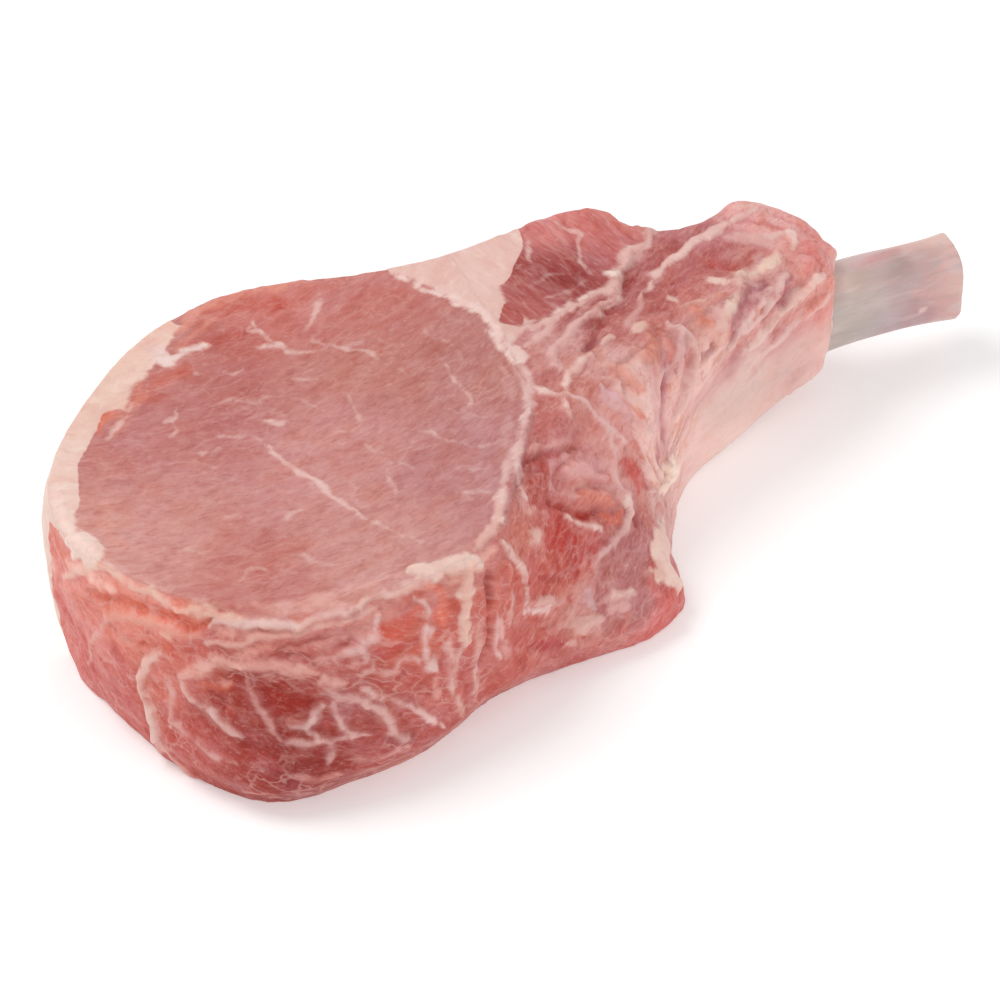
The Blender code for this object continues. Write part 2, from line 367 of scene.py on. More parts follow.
    def fat_along(self, points, half_width, tone, rise=0.0, taper=0.5):
        """A strand of fat that joins the fat field, so that it gets the same finish as the thick fat."""
        close, away, half = self.near(points, half_width, taper, 0.35)
        self.fat = np.maximum(self.fat, half - away)
        w = step(-0.8, 0.2, close)[:, None]
        self.fat_tone = self.fat_tone * (1 - w) + paint(tone) * w
        if rise:
            self.rise += RELIEF * rise * step(-0.15, 0.85, 1 - away / np.maximum(half, LEAST_SWELL))


# ---------------------------------------------------------------- tones by place

# Each spot is (place, tone): the tone of the tissue round that place, blended smoothly to the next.
EYE_SPOTS = [
    ((-53, 15, 38), "bb716c"), ((-20.5, 36.6, 38), "d08b86"), ((-47, 33, 38), "b5605a"), ((-55, 37, 38), "cd8f86"), ((-38, 41, 38), "d9857b"),
    ((-46, 3, 38), "d09490"), ((-71, 15, 38), "c4817d"), ((-35, 36, 38), "cb7b72"), ((-10, 12, 38), "be7f78"),
    ((-19, -18, 38), "c18482"), ((-67, -27, 38), "c78079"), ((-83, -6, 38), "d39890"), ((-33, 18, 38), "c4837a"),
    ((-45, -30, 38), "cf958e"), ((-20, 30, 38), "c3776f"),
]
EYE_SIDE_SPOTS = [
    ((-91, -6, 28), "d87c6f"), ((-92, 0, 9), "cb655d"), ((-88, -15, 32), "e08a79"), ((-90, -11, 5), "c3615a"),
    ((-83, -28, 21), "cf7468"), ((-82, -33, 12), "bf5f59"), ((-72, -39, 24), "97382f"), ((-68, -43, 17), "93362e"),
    ((-76, -41, 9), "a2433c"), ((-60, -44, 25), "aa5650"), ((-55, -45, 18), "a9544e"), ((-50, -47, 10), "ab514b"),
    ((-79, -36, 17), "9c423a"), ((-63, -46, 16), "983f39"), ((-70, -45, 13), "85302b"), ((-57, -41, 30), "b25a50"),
    ((-46, -42, 30), "c4604f"), ((-40, -45, 16), "b95f58"), ((-30, -39, 24), "c56e64"), ((-60, -36, 36), "d88d84"),
]
CAP_SPOTS = [
    ((13, 21, 39), "9a4747"), ((26, 31, 39), "c96b68"), ((22, 35, 39), "e89893"), ((30, 31, 38), "dd8f87"), ((8, 18, 39), "ba6864"), ((28, 25, 39), "c06b69"),
    ((19, 24, 39), "a04b49"),
]
RIB_SPOTS = [
    ((5, 3, 38), "cc908b"), ((15, 13, 38), "aa5a56"), ((24, 10, 38), "b0605a"), ((17, 7, 38), "bd706b"), ((33, 8, 38), "c5756f"), ((43, 17, 38), "c07677"),
    ((33, 22, 38), "bb7070"), ((57, 20, 37), "efb3ae"), ((64, 12, 33), "e29590"), ((48, 6.5, 37), "dfb0a9"), ((64, 7, 31), "ecb5ab"), ((38, 2, 38), "dda199"),
    ((22, 3, 38), "c57a74"), ((-4, -9, 38), "c47672"), ((-12, -22, 36), "b25750"), ((-19, -31, 35), "c97d73"),
    ((3, -8, 37), "d08f88"), ((1.4, -3, 38), "c0726c"), ((6, -2.5, 38), "cf948e"), ((12, 0, 38), "dbaaa4"), ((44, 11, 38), "b9625d"),
    ((40, -1, 18), "dcbdb4"), ((56, 2, 18), "d9b3ab"), ((26, -7, 9), "ecc6be"), ((52, 3, 30), "cb8a8c"),
    ((62, 5, 30), "de8f86"), ((20, -8, 27), "e6b8b2"), ((8, -12, 31), "d8958e"), ((11, -15, 25), "d08e87"),
    ((17, -14, 12), "d3a49e"), ((-2, -20, 30), "d69794"), ((-7, -29, 24), "bc4e47"), ((-1.6, -35.2, 11), "dda8a0"), ((3.8, -33.5, 11), "c5584f"), ((4, -29, 16), "bb7773"),
    ((7, -34, 6), "cc6560"), ((-6, -36, 5), "c2716d"), ((-9, -36, 11), "cf958d"), ((-20, -38, 12), "bd6259"),
    ((-22, -36, 28), "bf5f54"), ((64, 5, 14), "e6bdb5"), ((38, 0, 5), "ebc9c0"), ((33, -3, 33), "d4a19d"),
    ((-11, -37, 2), "b4534e"),
]
FAT_SPOTS = [
    ((-74, 29, 38), "e9c6b7"), ((-89, 10, 36), "eccdc0"), ((-58, 40, 38), "edc4b4"), ((0, 28, 38), "e8c2b8"),
    ((-10, 38, 30), "eac3b8"), ((-1, 8, 38), "deb6ac"), ((-12, -16, 38), "dfb8b3"), ((-22, -35, 28), "e0aca4"),
    ((-80, 20, 15), "eabfb0"), ((-30, 44, 15), "ebc4b5"), ((20, 10, 38), "dfb0ab"),
]
BONE_CUT_TONE = "ba7471"


def blended(points, spots, reach):
    """A smooth blend between the spots' tones."""
    total = np.zeros((len(points), 3))
    weights = np.zeros(len(points))
    for place, tone in spots:
        gap = np.linalg.norm(points - np.array(place, float), axis=1)
        w = 1 / (1 + (gap / reach) ** 2) ** 3 + 1e-9
        total += w[:, None] * paint(tone)
        weights += w
    return total / weights[:, None]


# ---------------------------------------------------------------- strands, folds and patches

def fibre_frame(s):
    """Places in mm along and across the grain of each muscle, so that patterns follow the fibres."""
    def turned(points, along, up):
        a = np.array(along, float) / np.linalg.norm(along)
        c = np.cross(a, up)
        c /= np.linalg.norm(c)
        return np.stack([points @ a, points @ c, points @ np.cross(c, a)], 1)

    p = s.base
    # on the eye the grain swings round from the left border to the right one
    run = p[:, 0] + 85
    eye = np.stack([p[:, 0], p[:, 1] + 0.21 * run - 0.0035 * run ** 2, p[:, 2]], 1)
    side = turned(p, (0.93, -0.2, -0.34), (0, -1, 0))
    cap = turned(p, (-0.3, 0.9, 0), (0, 0, 1)) * (0.6, 1, 1)
    rib = turned(p, (0.8, 0.45, 0.42), (0, 0, 1))
    flow = np.where((s.region == 0)[:, None], eye, np.where((s.region == 1)[:, None], cap, rib))
    turned_side = s.side > 0.5
    flow = np.where((turned_side & (s.region == 0))[:, None], side, flow)
    return np.where((s.fan > 0.3)[:, None], s.spokes, flow)


def shape_flesh(s):
    """The ground forms and tones of the flesh: which tissue shows where, and the unevenness of each."""
    p = s.base
    n = s.base_normals
    level = np.abs(n[:, 2]) + 0.16 * cloud(p, 6.0, 36) + 0.08 * cloud(p, 2.4, 37)
    face = step(0.35, 0.85, level)
    d_eye, d_cap, d_rib = s.distance_to("loin_eye"), s.distance_to("cap_muscle"), s.distance_to("rib_meat")
    d_fat, d_bone = s.distance_to("seam_fat"), s.distance_to("rib_bone")
    lean_gap = np.minimum(np.minimum(d_eye, d_cap), d_rib)
    owner = np.argmin(np.stack([d_eye, d_cap, d_rib]), axis=0)

    fat = lean_gap - d_fat + 0.55 * cloud(p, 7.0, 31) + 0.3 * cloud(p, 2.6, 32)
    # at the front the fat is only a rim on the sawn face: the side under it is covered lean
    front = step(9, 3, p[:, 1] + 2 * cloud(p, 5, 33)) * (p[:, 0] < -60)
    fat -= 30 * front * step(36.3, 34.8, p[:, 2] + 0.8 * cloud(p, 3, 34))
    fat -= 8 * step(5, -1, p[:, 1] + 2.5 * cloud(p, 9.0, 46)) * (p[:, 0] < -60)
    fat += 1.6 * cloud(p, 11.0, 47) * (1 - face) * step(0, 12, p[:, 1])
    # at the back the lean comes up to the edge of the sawn face
    ragged = p + 1.2 * shift_cloud(p, 5.0, 35)
    bare = to_run(ragged, [(-50, 43, 37), (-47, 44.5, 37), (-42, 45, 37), (-36, 43.5, 37), (-27, 42, 37), (-17, 38, 37)])
    fat -= 6 * step(4.6, 2.8, bare) * (d_eye < 4.5)
    # and at the front left it reaches further into the band of fat
    bare = to_run(ragged, [(-74.6, 23.4, 38), (-77.4, 20.2, 38), (-81.4, 14.2, 38), (-85.0, 8.2, 38), (-87.5, 1.9, 38)])
    fat -= 5 * step(3.0, 1.0, bare)
    # the wedge of fat runs in a little under the cap at its left, and ends early where eye and cap come close
    fat += 5 * step(4.3, 3.0, to_run(ragged, [(10, 36, 38), (8, 32.5, 38), (5, 28, 38)])) * step(24, 30, p[:, 2])
    fat -= 4 * step(2.4, 1.2, to_run(ragged, [(-5.2, 20.5, 38), (-4.3, 16.5, 38), (-3.9, 11, 38)]))
    fat -= 4 * step(2.8, 1.5, to_run(ragged, [(2.4, 17, 38), (0.7, 14.4, 38)]))
    # the seam round the eye narrows towards the front
    fat -= 1.9 * step(14, 5, p[:, 1]) * ((p[:, 0] > -40) & (p[:, 0] < 12))
    # and the one between cap and rib meat is only a thin line
    fat -= 1.0 * step(4.0, 2.0, d_cap) * step(4.0, 2.0, d_rib)
    s.fat = fat
    bone = np.minimum(lean_gap, d_fat) - d_bone

    spread = p + 2.4 * shift_cloud(p, 8.0, 41) + 1.1 * shift_cloud(p, 2.8, 51)
    f = face[:, None]
    eye = blended(spread, EYE_SPOTS, 13) * f + blended(spread, EYE_SIDE_SPOTS, 8) * (1 - f)
    rib = blended(spread, RIB_SPOTS, 6.5)
    s.lean = np.where((owner == 0)[:, None], eye, np.where((owner == 1)[:, None], blended(spread, CAP_SPOTS, 7), rib))
    s.fat_tone = blended(spread, FAT_SPOTS, 14)
    cut = step(-0.3, 0.8, bone + 0.6 * cloud(p, 2.2, 38))[:, None]
    s.lean = s.lean * (1 - cut) + paint(BONE_CUT_TONE) * cut
    s.region = owner
    s.face = face
    s.side = 1 - step(0.45, 0.8, np.abs(n[:, 2]))
    # on the inner side of the rib meat folds of muscle and membrane fan out from its foot to the crest
    from_foot = p - (18, -9, 13)
    turn = np.arctan2(from_foot[:, 2], from_foot[:, 0])
    reach = np.hypot(from_foot[:, 0], from_foot[:, 2])
    s.spokes = np.stack([reach, 15 * turn, 0.5 * p[:, 1]], 1)
    low = 24 - 9 * step(34, 22, p[:, 0]) + 2 * cloud(p, 5.0, 45)
    s.fan = (owner == 2) * step(-0.02, -0.35, n[:, 1]) * step(low - 1.5, low + 2, p[:, 2]) * step(11, 15, p[:, 0])
    s.fan *= step(44, 38, p[:, 0]) * step(8, 2, p[:, 1] - 0.12 * p[:, 0])
    s.flow = fibre_frame(s)

    # the inner skin of the ribs is smooth; everything else is torn, cut or fibrous
    inner = (owner == 2) & (n[:, 1] < 0.3)
    s.calm = 0.75 * step(22, 32, p[:, 0] + 3 * cloud(p, 5, 39)) * step(30, 24, p[:, 2] + 2 * cloud(p, 4, 40)) * inner
    s.calm = np.maximum(s.calm, np.where(owner == 0, 0.45, 0.25) - 0.1 * s.side)

    # the soft unevenness of wet meat: least on the two sawn faces, most on the torn sides
    rough = 1 - 0.7 * face
    s.rise += (0.55 * cloud(p, 11.0, 61) + 0.3 * cloud(p, 4.5, 62)) * rough * (1 - 0.5 * s.calm)
    s.rise += 0.13 * cloud(p, 2.0, 63) * (1 - 0.6 * s.calm)
    s.rise += 0.09 * cloud(p, 1.1, 64) * (1 - 0.6 * s.calm) * (1 - 0.4 * face)
    s.rise += 0.22 * step(-1.0, 1.2, fat) * face
    bundles = cloud(s.flow, (9.0, 2.6, 3.5), 65)
    s.rise += 0.28 * bundles * s.side * (1 - 0.75 * s.calm) * (fat < 0)

    # the crest of the rib meat is lumpy
    gap = to_run(p, CREST)
    s.rise += step(9.0, 3.0, gap) * (1.1 * cloud(s.flow, (9.0, 4.2, 4.2), 72) + 0.5 * cloud(s.flow, (5.0, 2.4, 2.4), 73))

    folds = 1.2 * cloud(s.spokes, (17.0, 3.0, 5.0), 74) + 0.6 * cloud(s.spokes, (11.0, 1.3, 3.0), 75)
    s.rise += 0.75 * folds * s.fan
    for tone, amount in (("ecc6bd", step(-0.05, 0.5, folds)), ("b87880", step(-0.15, -0.7, folds))):
        w = (0.85 * amount * s.fan)[:, None]
        s.lean = s.lean * (1 - w) + paint(tone) * w

    # a web of thin membrane lies over the torn sides and, fainter, over the rib meat; the material draws it
    s.torn = np.select([s.region == 0, s.region == 2], [0.22 + 0.26 * s.side, 0.20 + 0.14 * s.side], 0.2) * (fat < 0.3)
    s.torn *= 1 - step(0.5, 0.8, s.calm)
    nearest = np.sort(np.stack([d_eye, d_cap, d_rib]), axis=0)
    s.calm = np.maximum(s.calm, 0.95 * step(0.9, 0.2, nearest[1] - nearest[0]))
    s.torn *= step(0.3, 1.2, nearest[1] - nearest[0]) * step(0.04, 0.16, np.abs(s.fan - 0.3))
    s.torn *= np.where(s.region == 0, step(0.04, 0.2, np.abs(s.side - 0.5)), 1)
    # the deep red muscle behind the tendon is bare of it
    s.torn *= 1 - 0.75 * step(10, 5, to_run(p, [(-79, -36, 15), (-70, -41, 20), (-63, -45, 17)]))
    # whitish silverskin over the right border of the eye
    silver = step(9, 3, to_run(p, [(-10, 0, 38), (-12, -9, 38), (-16, -17, 38), (-22, -25, 38)])) * (s.region == 0)
    s.torn = np.maximum(s.torn, 0.4 * silver * face * (fat < 0.3))


CREAM, WHITE, PALE, ROSE = "efcdc0", "ecd0ca", "dfb0a6", "d79b93"
SALMON, ORANGE, RED, DEEP, MAUVE = "e08a7b", "df7d66", "c8655c", "a9483f", "c58386"


def eye_marks(s):
    """Threads, flecks and stained borders on the sawn face of the loin eye."""
    # stained borders: the red rim at the back, the orange corner next to the fat
    s.lay([(-52, 37, 38), (-45, 41, 38), (-37, 39, 38), (-31, 36, 38)], 3.6, "c96a5c", 0.75, rise=-0.15, soft=1.0)
    s.lay([(-37, 39, 38), (-33, 37, 38)], 3.0, "c15548", 0.7, soft=1.0)
    s.lay([(-55, 35, 38), (-49, 33, 38), (-44, 33, 38)], 2.6, "be5f57", 0.75, soft=1.0)
    s.lay([(-69, 25, 38), (-64, 27, 38), (-57, 29, 38)], 4.0, "cc6f5f", 0.8, soft=1.0)
    s.lay([(-67, 23.5, 38), (-62, 23.5, 38)], 2.0, "bf6055", 0.7, soft=1.0)
    s.lay([(-65, 31, 38), (-70, 25, 38), (-76, 22.5, 38)], 1.4, "dd8a78", 0.7)
    s.lay([(-72, 26, 38), (-75, 24, 38), (-78, 21, 38)], 1.5, "de7f66", 0.95, rise=-0.2)
    s.thread_along([(-69, 25, 38), (-73, 21.5, 38), (-77, 18, 38)], 0.5, 0.8)
    s.lay([(-16.5, -4, 38), (-18, -14, 38), (-21, -23, 38)], 5.0, "c79496", 0.55, soft=1.0)
    s.lay([(-57, 33, 38), (-52, 37, 38), (-47, 39.5, 38)], 1.8, "e29a8a", 0.7, soft=1.0)
    s.lay([(-75, 19, 38), (-72, 22, 38), (-67, 26, 38)], 2.0, "dc917f", 0.7, soft=1.0)
    s.lay([(-84, 3, 38), (-85.5, -3, 38), (-84, -9, 38)], 2.0, "dd9a8c", 0.6, soft=1.0)
    s.lay([(-26, 36, 38), (-18, 34, 38), (-11, 28, 38)], 3.5, "c06a5e", 0.45, soft=1.0)
    # the main thread of fat, from the left middle down to the front right
    main = [(-64, 9, 38), (-59, 10.5, 38), (-54, 8, 38), (-52, 4, 38), (-50.5, -2, 38), (-48, -7.5, 38),
            (-46.5, -14.5, 38), (-44, -20, 38), (-40, -26, 38), (-36.5, -30.5, 38)]
    s.lay(main[3:8], 1.6, "ddaaa4", 0.6, rise=0.08, soft=1.0)
    s.thread_along(main[:4], 0.28, 0.65)
    s.thread_along(main[3:8], 0.62, 1.0, rise=0.10)
    s.thread_along(main[7:], 0.4, 0.75)
    # the forked thread at the back
    s.thread_along([(-27.5, 35, 38), (-29.5, 33, 38), (-33, 29, 38), (-33.5, 27.5, 38)], 0.55, 1.0, rise=0.08)
    s.thread_along([(-33, 28, 38), (-32, 24.5, 38), (-29.5, 21.5, 38), (-25.5, 18.5, 38), (-24, 14.5, 38)], 0.42, 0.75)
    s.thread_along([(-40, 28, 38), (-36, 23.5, 38), (-32.5, 22.5, 38)], 0.40, 0.8)
    s.thread_along([(-41.5, 34.5, 38), (-41, 31, 38), (-39.5, 28.5, 38), (-38, 25, 38)], 0.60, 1.0, rise=0.08)
    s.thread_along([(-43, 27.5, 38), (-40, 27.5, 38), (-38.5, 25, 38)], 0.50, 0.9, rise=0.06)
    s.thread_along([(-43, 33, 38), (-41.5, 32, 38)], 0.4, 0.8)
    s.thread_along([(-24, 14.5, 38), (-22, 11, 38), (-21.5, 8, 38)], 0.25, 0.5)
    s.thread_along([(-29.5, 21.5, 38), (-24, 21, 38), (-19, 17, 38)], 0.22, 0.45)
    # the thread towards the right border, and its knot
    s.thread_along([(-15, 13, 38), (-14.7, 8.5, 38), (-14.5, 5, 38), (-14.5, 1, 38)], 0.30, 0.85)
    s.thread_along([(-14.5, 0.5, 38), (-14.3, -1, 38), (-15.5, -2, 38)], 0.62, 0.9, rise=0.05)
    s.thread_along([(-13.5, 19.5, 38), (-13.5, 16, 38)], 0.25, 0.6)
    s.thread_along([(-12, 15, 38), (-11, 12, 38), (-11.5, 9, 38)], 0.2, 0.45)
    # small flecks and hairs
    s.thread_along([(-33, 9.5, 38), (-34, 5, 38), (-34, 2, 38)], 0.30, 0.7)
    s.thread_along([(-36, -3, 38), (-34.5, -6.5, 38)], 0.30, 0.6)
    s.thread_along([(-34, -9, 38), (-36.5, -12, 38), (-36, -15, 38), (-37.5, -17, 38)], 0.32, 0.8)
    s.thread_along([(-33, -9.5, 38), (-31, -14, 38)], 0.28, 0.6)
    s.thread_along([(-51, 25, 38), (-49, 24, 38), (-47, 24.5, 38)], 0.55, 0.95)
    s.thread_along([(-56, 27.5, 38), (-54.5, 25.5, 38)], 0.35, 0.7)
    s.thread_along([(-66.5, 17.5, 38), (-64, 18.5, 38), (-63, 19.5, 38)], 0.40, 0.85)
    s.thread_along([(-66.5, 13.5, 38), (-65, 15.5, 38)], 0.35, 0.75)
    s.thread_along([(-50, 10.5, 38), (-48, 8.5, 38), (-46, 8, 38)], 0.60, 0.95, rise=0.05)
    s.thread_along([(-63.5, 7, 38), (-61, 6.5, 38), (-60, 7.5, 38)], 0.50, 0.85)
    s.thread_along([(-58, 19, 38), (-52, 17, 38), (-47, 14, 38)], 0.22, 0.5)
    s.thread_along([(-70, 8, 38), (-66, 6, 38), (-62, 3, 38)], 0.20, 0.4)
    s.thread_along([(-70, -8, 38), (-65, -9.5, 38), (-61, -12, 38)], 0.22, 0.45)
    s.thread_along([(-57, -14, 38), (-53, -13, 38)], 0.4, 0.6)
    s.thread_along([(-60, -22, 38), (-56, -25, 38), (-53, -29, 38)], 0.24, 0.5)
    s.thread_along([(-70, -24, 38), (-66, -23, 38), (-64, -25, 38)], 0.3, 0.55)
    s.thread_along([(-76, -10, 38), (-74, -14, 38)], 0.25, 0.5)
    s.thread_along([(-48, 16, 38), (-43, 14, 38), (-40, 10, 38)], 0.22, 0.5)
    s.thread_along([(-41, 18, 38), (-37, 16, 38)], 0.3, 0.6)
    s.thread_along([(-40, 2, 38), (-36, 1, 38)], 0.3, 0.5)
    s.thread_along([(-27, -3, 38), (-24, -6, 38), (-23, -9, 38)], 0.25, 0.55)
    s.thread_along([(-22, -9, 38), (-18, -12, 38), (-14, -13, 38)], 0.35, 0.6)
    s.thread_along([(-24, -16, 38), (-20, -18, 38), (-17, -18, 38)], 0.35, 0.6)
    s.thread_along([(-26, -21, 38), (-22, -24, 38), (-20, -24, 38)], 0.35, 0.6)
    s.thread_along([(-20, 0, 38), (-15, -5, 38), (-9, -7, 38)], 0.28, 0.5)
    s.fat_along([(-65, 31, 38), (-61, 35.5, 38), (-57, 38, 38)], 2.0, "edc9bb")
    s.lay([(-55, 38.5, 38), (-49, 42, 37.5), (-43, 43, 37.5), (-36, 42, 37.5), (-28, 41, 37.5)], 1.9, "e59a89", 0.9, rise=0.2)
    # the fat rim thins out to a white band and a lump at the left front
    s.fat_along([(-89.5, 9, 37.5), (-90.3, 6, 37.5), (-91, 2.5, 37), (-91.2, -1, 37)], 1.3, "f2d5ca", rise=0.3, taper=0.1)
    s.fat_along([(-91, -2.5, 37), (-90.6, -4.5, 37.4), (-89.6, -6.5, 37.6)], 2.5, "f4d8cc", rise=0.7, taper=0.2)
    # the white tongue that reaches in from the fat
    s.fat_along([(-60.5, 35.5, 38), (-58.7, 31, 38)], 1.5, WHITE)
    s.fat_along([(-58.5, 31, 38), (-55.5, 33, 38), (-51, 32.5, 38)], 0.75, WHITE)


def rim_and_side(s):
    """The front edge and side of the loin: a rolled rim, torn membrane and the red muscle between."""
    # the rim, where the sawn face ends: a pale fold, a salmon hollow under its left half, and a white fold below
    s.lay([(-91, -8.5, 31), (-87, -16, 33), (-82.5, -23, 33.5), (-79.5, -26.5, 34),
           (-77, -28, 35)], 1.8, "dd7660", 0.95, rise=-0.7)
    s.lay([(-91.5, -4, 14), (-91, -6, 8), (-90.5, -8, 3)], 4.0, "bd4a43", 0.9)
    s.lay([(-90, -13, 22), (-89, -15, 18)], 2.4, "c55b50", 0.85)
    s.lay([(-92, -1, 17), (-92, -1, 9)], 3.0, "cc4f4b", 0.9)
    s.lay([(-92.5, 0, 27.5), (-90.5, -7.5, 36), (-88, -11.5, 37), (-86, -16, 36.5), (-83.5, -19.5, 37),
           (-82, -22, 36.5), (-80, -24.5, 35.5)], 0.75, "ecc3b4", 0.9, rise=0.5)
    s.lay([(-80.5, -24, 35.5), (-77.5, -26.5, 36.5), (-75, -28.5, 36.5),
           (-72.5, -30.5, 36)], 0.9, "efc9b6", 0.95, rise=0.8)
    s.lay([(-77, -28.5, 34.5), (-75, -29.5, 35.5), (-72.5, -31.5, 35.5), (-69.5, -33, 35.5),
           (-66.5, -34, 36), (-63.5, -35.5, 35.5)], 0.95, "efd2ca", 1, rise=0.7)
    s.lay([(-64.5, -35.5, 35.5), (-60, -36.5, 36), (-55.5, -37, 36.5), (-49, -37, 37), (-42.5, -36.5, 37),
           (-37.5, -36.5, 36.5)], 0.7, "ecc6bc", 0.9, rise=0.5)
    s.lay([(-90, -12, 28), (-87, -17.5, 31), (-85, -20.5, 32), (-83.5, -23, 31.5), (-81.5, -25.5, 32),
           (-79, -28, 32.5)], 0.7, "e6a898", 0.85, rise=0.6)
    s.lay([(-83.5, -23.5, 31), (-83, -24.5, 30)], 0.8, "e9b8a4", 0.85, rise=0.3)
    s.lay([(-92.5, -0.5, 25), (-91, -8, 31.5), (-89, -12.5, 33)], 2.6, "e39080", 0.7, rise=0.4)
    s.lay([(-78.5, -29, 31.5), (-73.5, -33, 33), (-69, -35, 34), (-63, -36.5, 34.5), (-56.5, -38, 35),
           (-50.5, -38, 35.5)], 0.6, "e8b9ae", 0.85, rise=0.4)
    s.lay([(-67.5, -36.5, 32.7), (-65.5, -37.5, 33), (-60, -39, 33)], 0.7, "b95f5a", 0.85, rise=-0.5)
    s.lay([(-62.5, -40.5, 30), (-58.5, -41, 30.5), (-54.5, -41, 31.5),
           (-51, -40.5, 32.5)], 0.6, "e6c0bd", 0.85, rise=0.4)
    s.lay([(-66.5, -38, 31.5), (-61.5, -39.5, 31), (-56, -40, 32.5)], 0.8, "b65a56", 0.85, rise=-0.5)
    s.lay([(-57, -38.5, 34.5), (-52.5, -39, 34.5), (-47.5, -38.5, 34.5),
           (-43, -38, 35)], 0.5, "d98878", 0.8, rise=0.1)
    s.lay([(-71.5, -33, 34.5), (-67, -35, 34.5), (-61, -37, 35),
           (-54, -38, 35.5)], 0.6, "cf7d72", 0.7, rise=-0.3)
    s.lay([(-92.6, -1.5, 33), (-91.5, -6, 34.3), (-89.9, -9.5, 34.4), (-88, -13, 34.5)], 1.9, "f0c1b4", 0.85, rise=0.3)
    s.lay([(-70, -30.3, 38), (-66, -32.8, 38), (-61, -34, 38), (-55, -34.2, 38), (-48, -34.6, 38), (-44, -35.2, 38)],
          2.2, "e4b1a9", 0.75)
    s.lay([(-37.5, -37, 35.5), (-34, -37.8, 35), (-30, -36.8, 36), (-26, -34.6, 36)], 1.7, "e8b3a6", 0.8, rise=0.2)
    s.lay([(-26.6, -39.7, 19), (-26.2, -40, 12.5)], 1.7, "d9a49f", 0.8, rise=0.2)
    # the salmon lobe at the left and the notch beside the torn part
    s.lay([(-89.5, -13, 29), (-90, -12, 25), (-91.5, -8.5, 19), (-91.5, -6.5, 14.5),
           (-91.5, -5, 9.5)], 0.65, "e4ada4", 0.9, rise=0.4)
    s.lay([(-92.5, -4, 20), (-92, -4, 15)], 1.6, "cf6a60", 0.8, rise=-0.2)
    s.lay([(-90.5, -10.5, 13.5), (-90, -12, 8)], 3.4, "cb7770", 0.6, rise=0.2)
    s.lay([(-92.5, 3.5, 11.5), (-92, 4.5, 3.5)], 2.2, "d4776c", 0.7, rise=0.1)
    s.lay([(-88.5, -14.5, 27), (-87.5, -18, 25)], 2.2, "d68a7b", 0.7, rise=0.3)
    # the thick tendon and the pale strands behind it
    s.lay([(-87, -18.5, 25.5), (-84, -24, 28), (-81, -27.5, 29.5),
           (-77, -31, 31)], 1.6, "cc6453", 0.9, rise=-0.4)
    s.lay([(-85, -23, 26), (-86.5, -21, 23), (-87.3, -20.7, 19), (-87.4, -21.3, 15), (-87, -22.6, 11),
           (-86.7, -23.6, 7), (-86.2, -24.5, 3)], 1.25, "efcfc4", 0.95, rise=1.1)
    s.lay([(-86.8, -23.5, 9), (-86, -25, 5), (-84.5, -27.5, 2.5), (-82, -31, 1.5)], 1.5, "e3b7ac", 0.8, rise=0.3)
    s.lay([(-87.5, -19, 20.5), (-88, -19, 14), (-87.5, -21, 9.5),
           (-87, -21, 2.5)], 0.7, "c4655c", 0.8, rise=-0.3)
    s.lay([(-84.5, -25, 23.5), (-84.5, -27, 19), (-85.5, -27, 13)], 0.6, "dfaba2", 0.85, rise=0.35)
    s.lay([(-85.5, -27, 9.5), (-85.5, -26.5, 4.5)], 0.6, "d99f96", 0.8, rise=0.2)
    s.lay([(-84, -25.5, 24), (-83, -27.5, 23), (-82, -30.5, 20.5), (-80.5, -33, 19), (-79.5, -35, 18),
           (-78.5, -37, 17), (-77, -39, 16.5)], 0.75, "e3b8b0", 0.9, rise=0.6)
    s.lay([(-80.5, -33, 19.5), (-79.5, -35, 18)], 0.9, "e9c6c0", 0.9, rise=0.3)
    s.lay([(-85.5, -27, 13), (-83.5, -31.5, 12.5), (-82, -34, 11.5), (-80, -37, 10.5),
           (-78, -39.5, 11.5)], 0.7, "dfaea7", 0.85, rise=0.5)
    s.lay([(-85.5, -27, 12), (-85.5, -27.5, 11.5)], 0.5, "efd2c4", 0.9, rise=0.3)
    s.lay([(-83, -27.5, 24), (-80, -30, 26.5), (-77.5, -32, 29),
           (-74, -34.5, 30)], 2.2, "e2b0a5", 0.9, rise=0.5)
    s.lay([(-74, -34.5, 30), (-70, -37, 30.5), (-66, -39, 29.5),
           (-63.5, -41, 28.5)], 1.9, "dfa89d", 0.8, rise=0.5)
    s.lay([(-80.5, -31, 23.5), (-78, -33.5, 24.5), (-76, -35.5, 25.5)], 1.3, "c9664f", 0.85, rise=-0.1)
    s.lay([(-78.5, -34.5, 21.5), (-77, -37, 20)], 1.6, "b5534b", 0.9, rise=-0.3)
    s.lay([(-72.5, -38.5, 25.5), (-69, -41, 24), (-65.5, -43, 23)], 2.8, "9c362f", 0.95, rise=-0.5)
    s.lay([(-79.5, -33, 23), (-78.5, -35, 20)], 2.6, "9c3a33", 0.95, rise=-0.3)
    s.lay([(-77, -39.5, 16), (-73, -43, 14.5), (-69, -45, 14)], 2.8, "943730", 0.9, rise=-0.2)
    s.lay([(-62, -43, 24.5), (-57, -45, 21), (-53, -46, 17)], 2.6, "a05a54", 0.8)
    s.lay([(-53, -47, 13), (-48, -47, 10)], 3.2, "944640", 0.9)
    s.lay([(-74, -34.5, 30), (-74, -36, 27.5), (-73.5, -38.5, 23.5), (-72.5, -40.5, 21.5), (-72, -42, 18.5),
           (-70, -44, 15.5)], 0.38, "dda9a1", 0.8, rise=0.4)
    s.lay([(-76, -40.5, 14.5), (-74, -43, 13), (-72, -44.5, 11)], 2.2, "a5443f", 0.9, rise=-0.1)
    s.lay([(-76, -39.5, 17.5), (-74, -41, 17.5)], 1, "aa4b45", 0.85, rise=-0.2)
    s.lay([(-84, -31.5, 6), (-81.5, -35, 5.5)], 2.6, "c25f58", 0.75, rise=0.1)
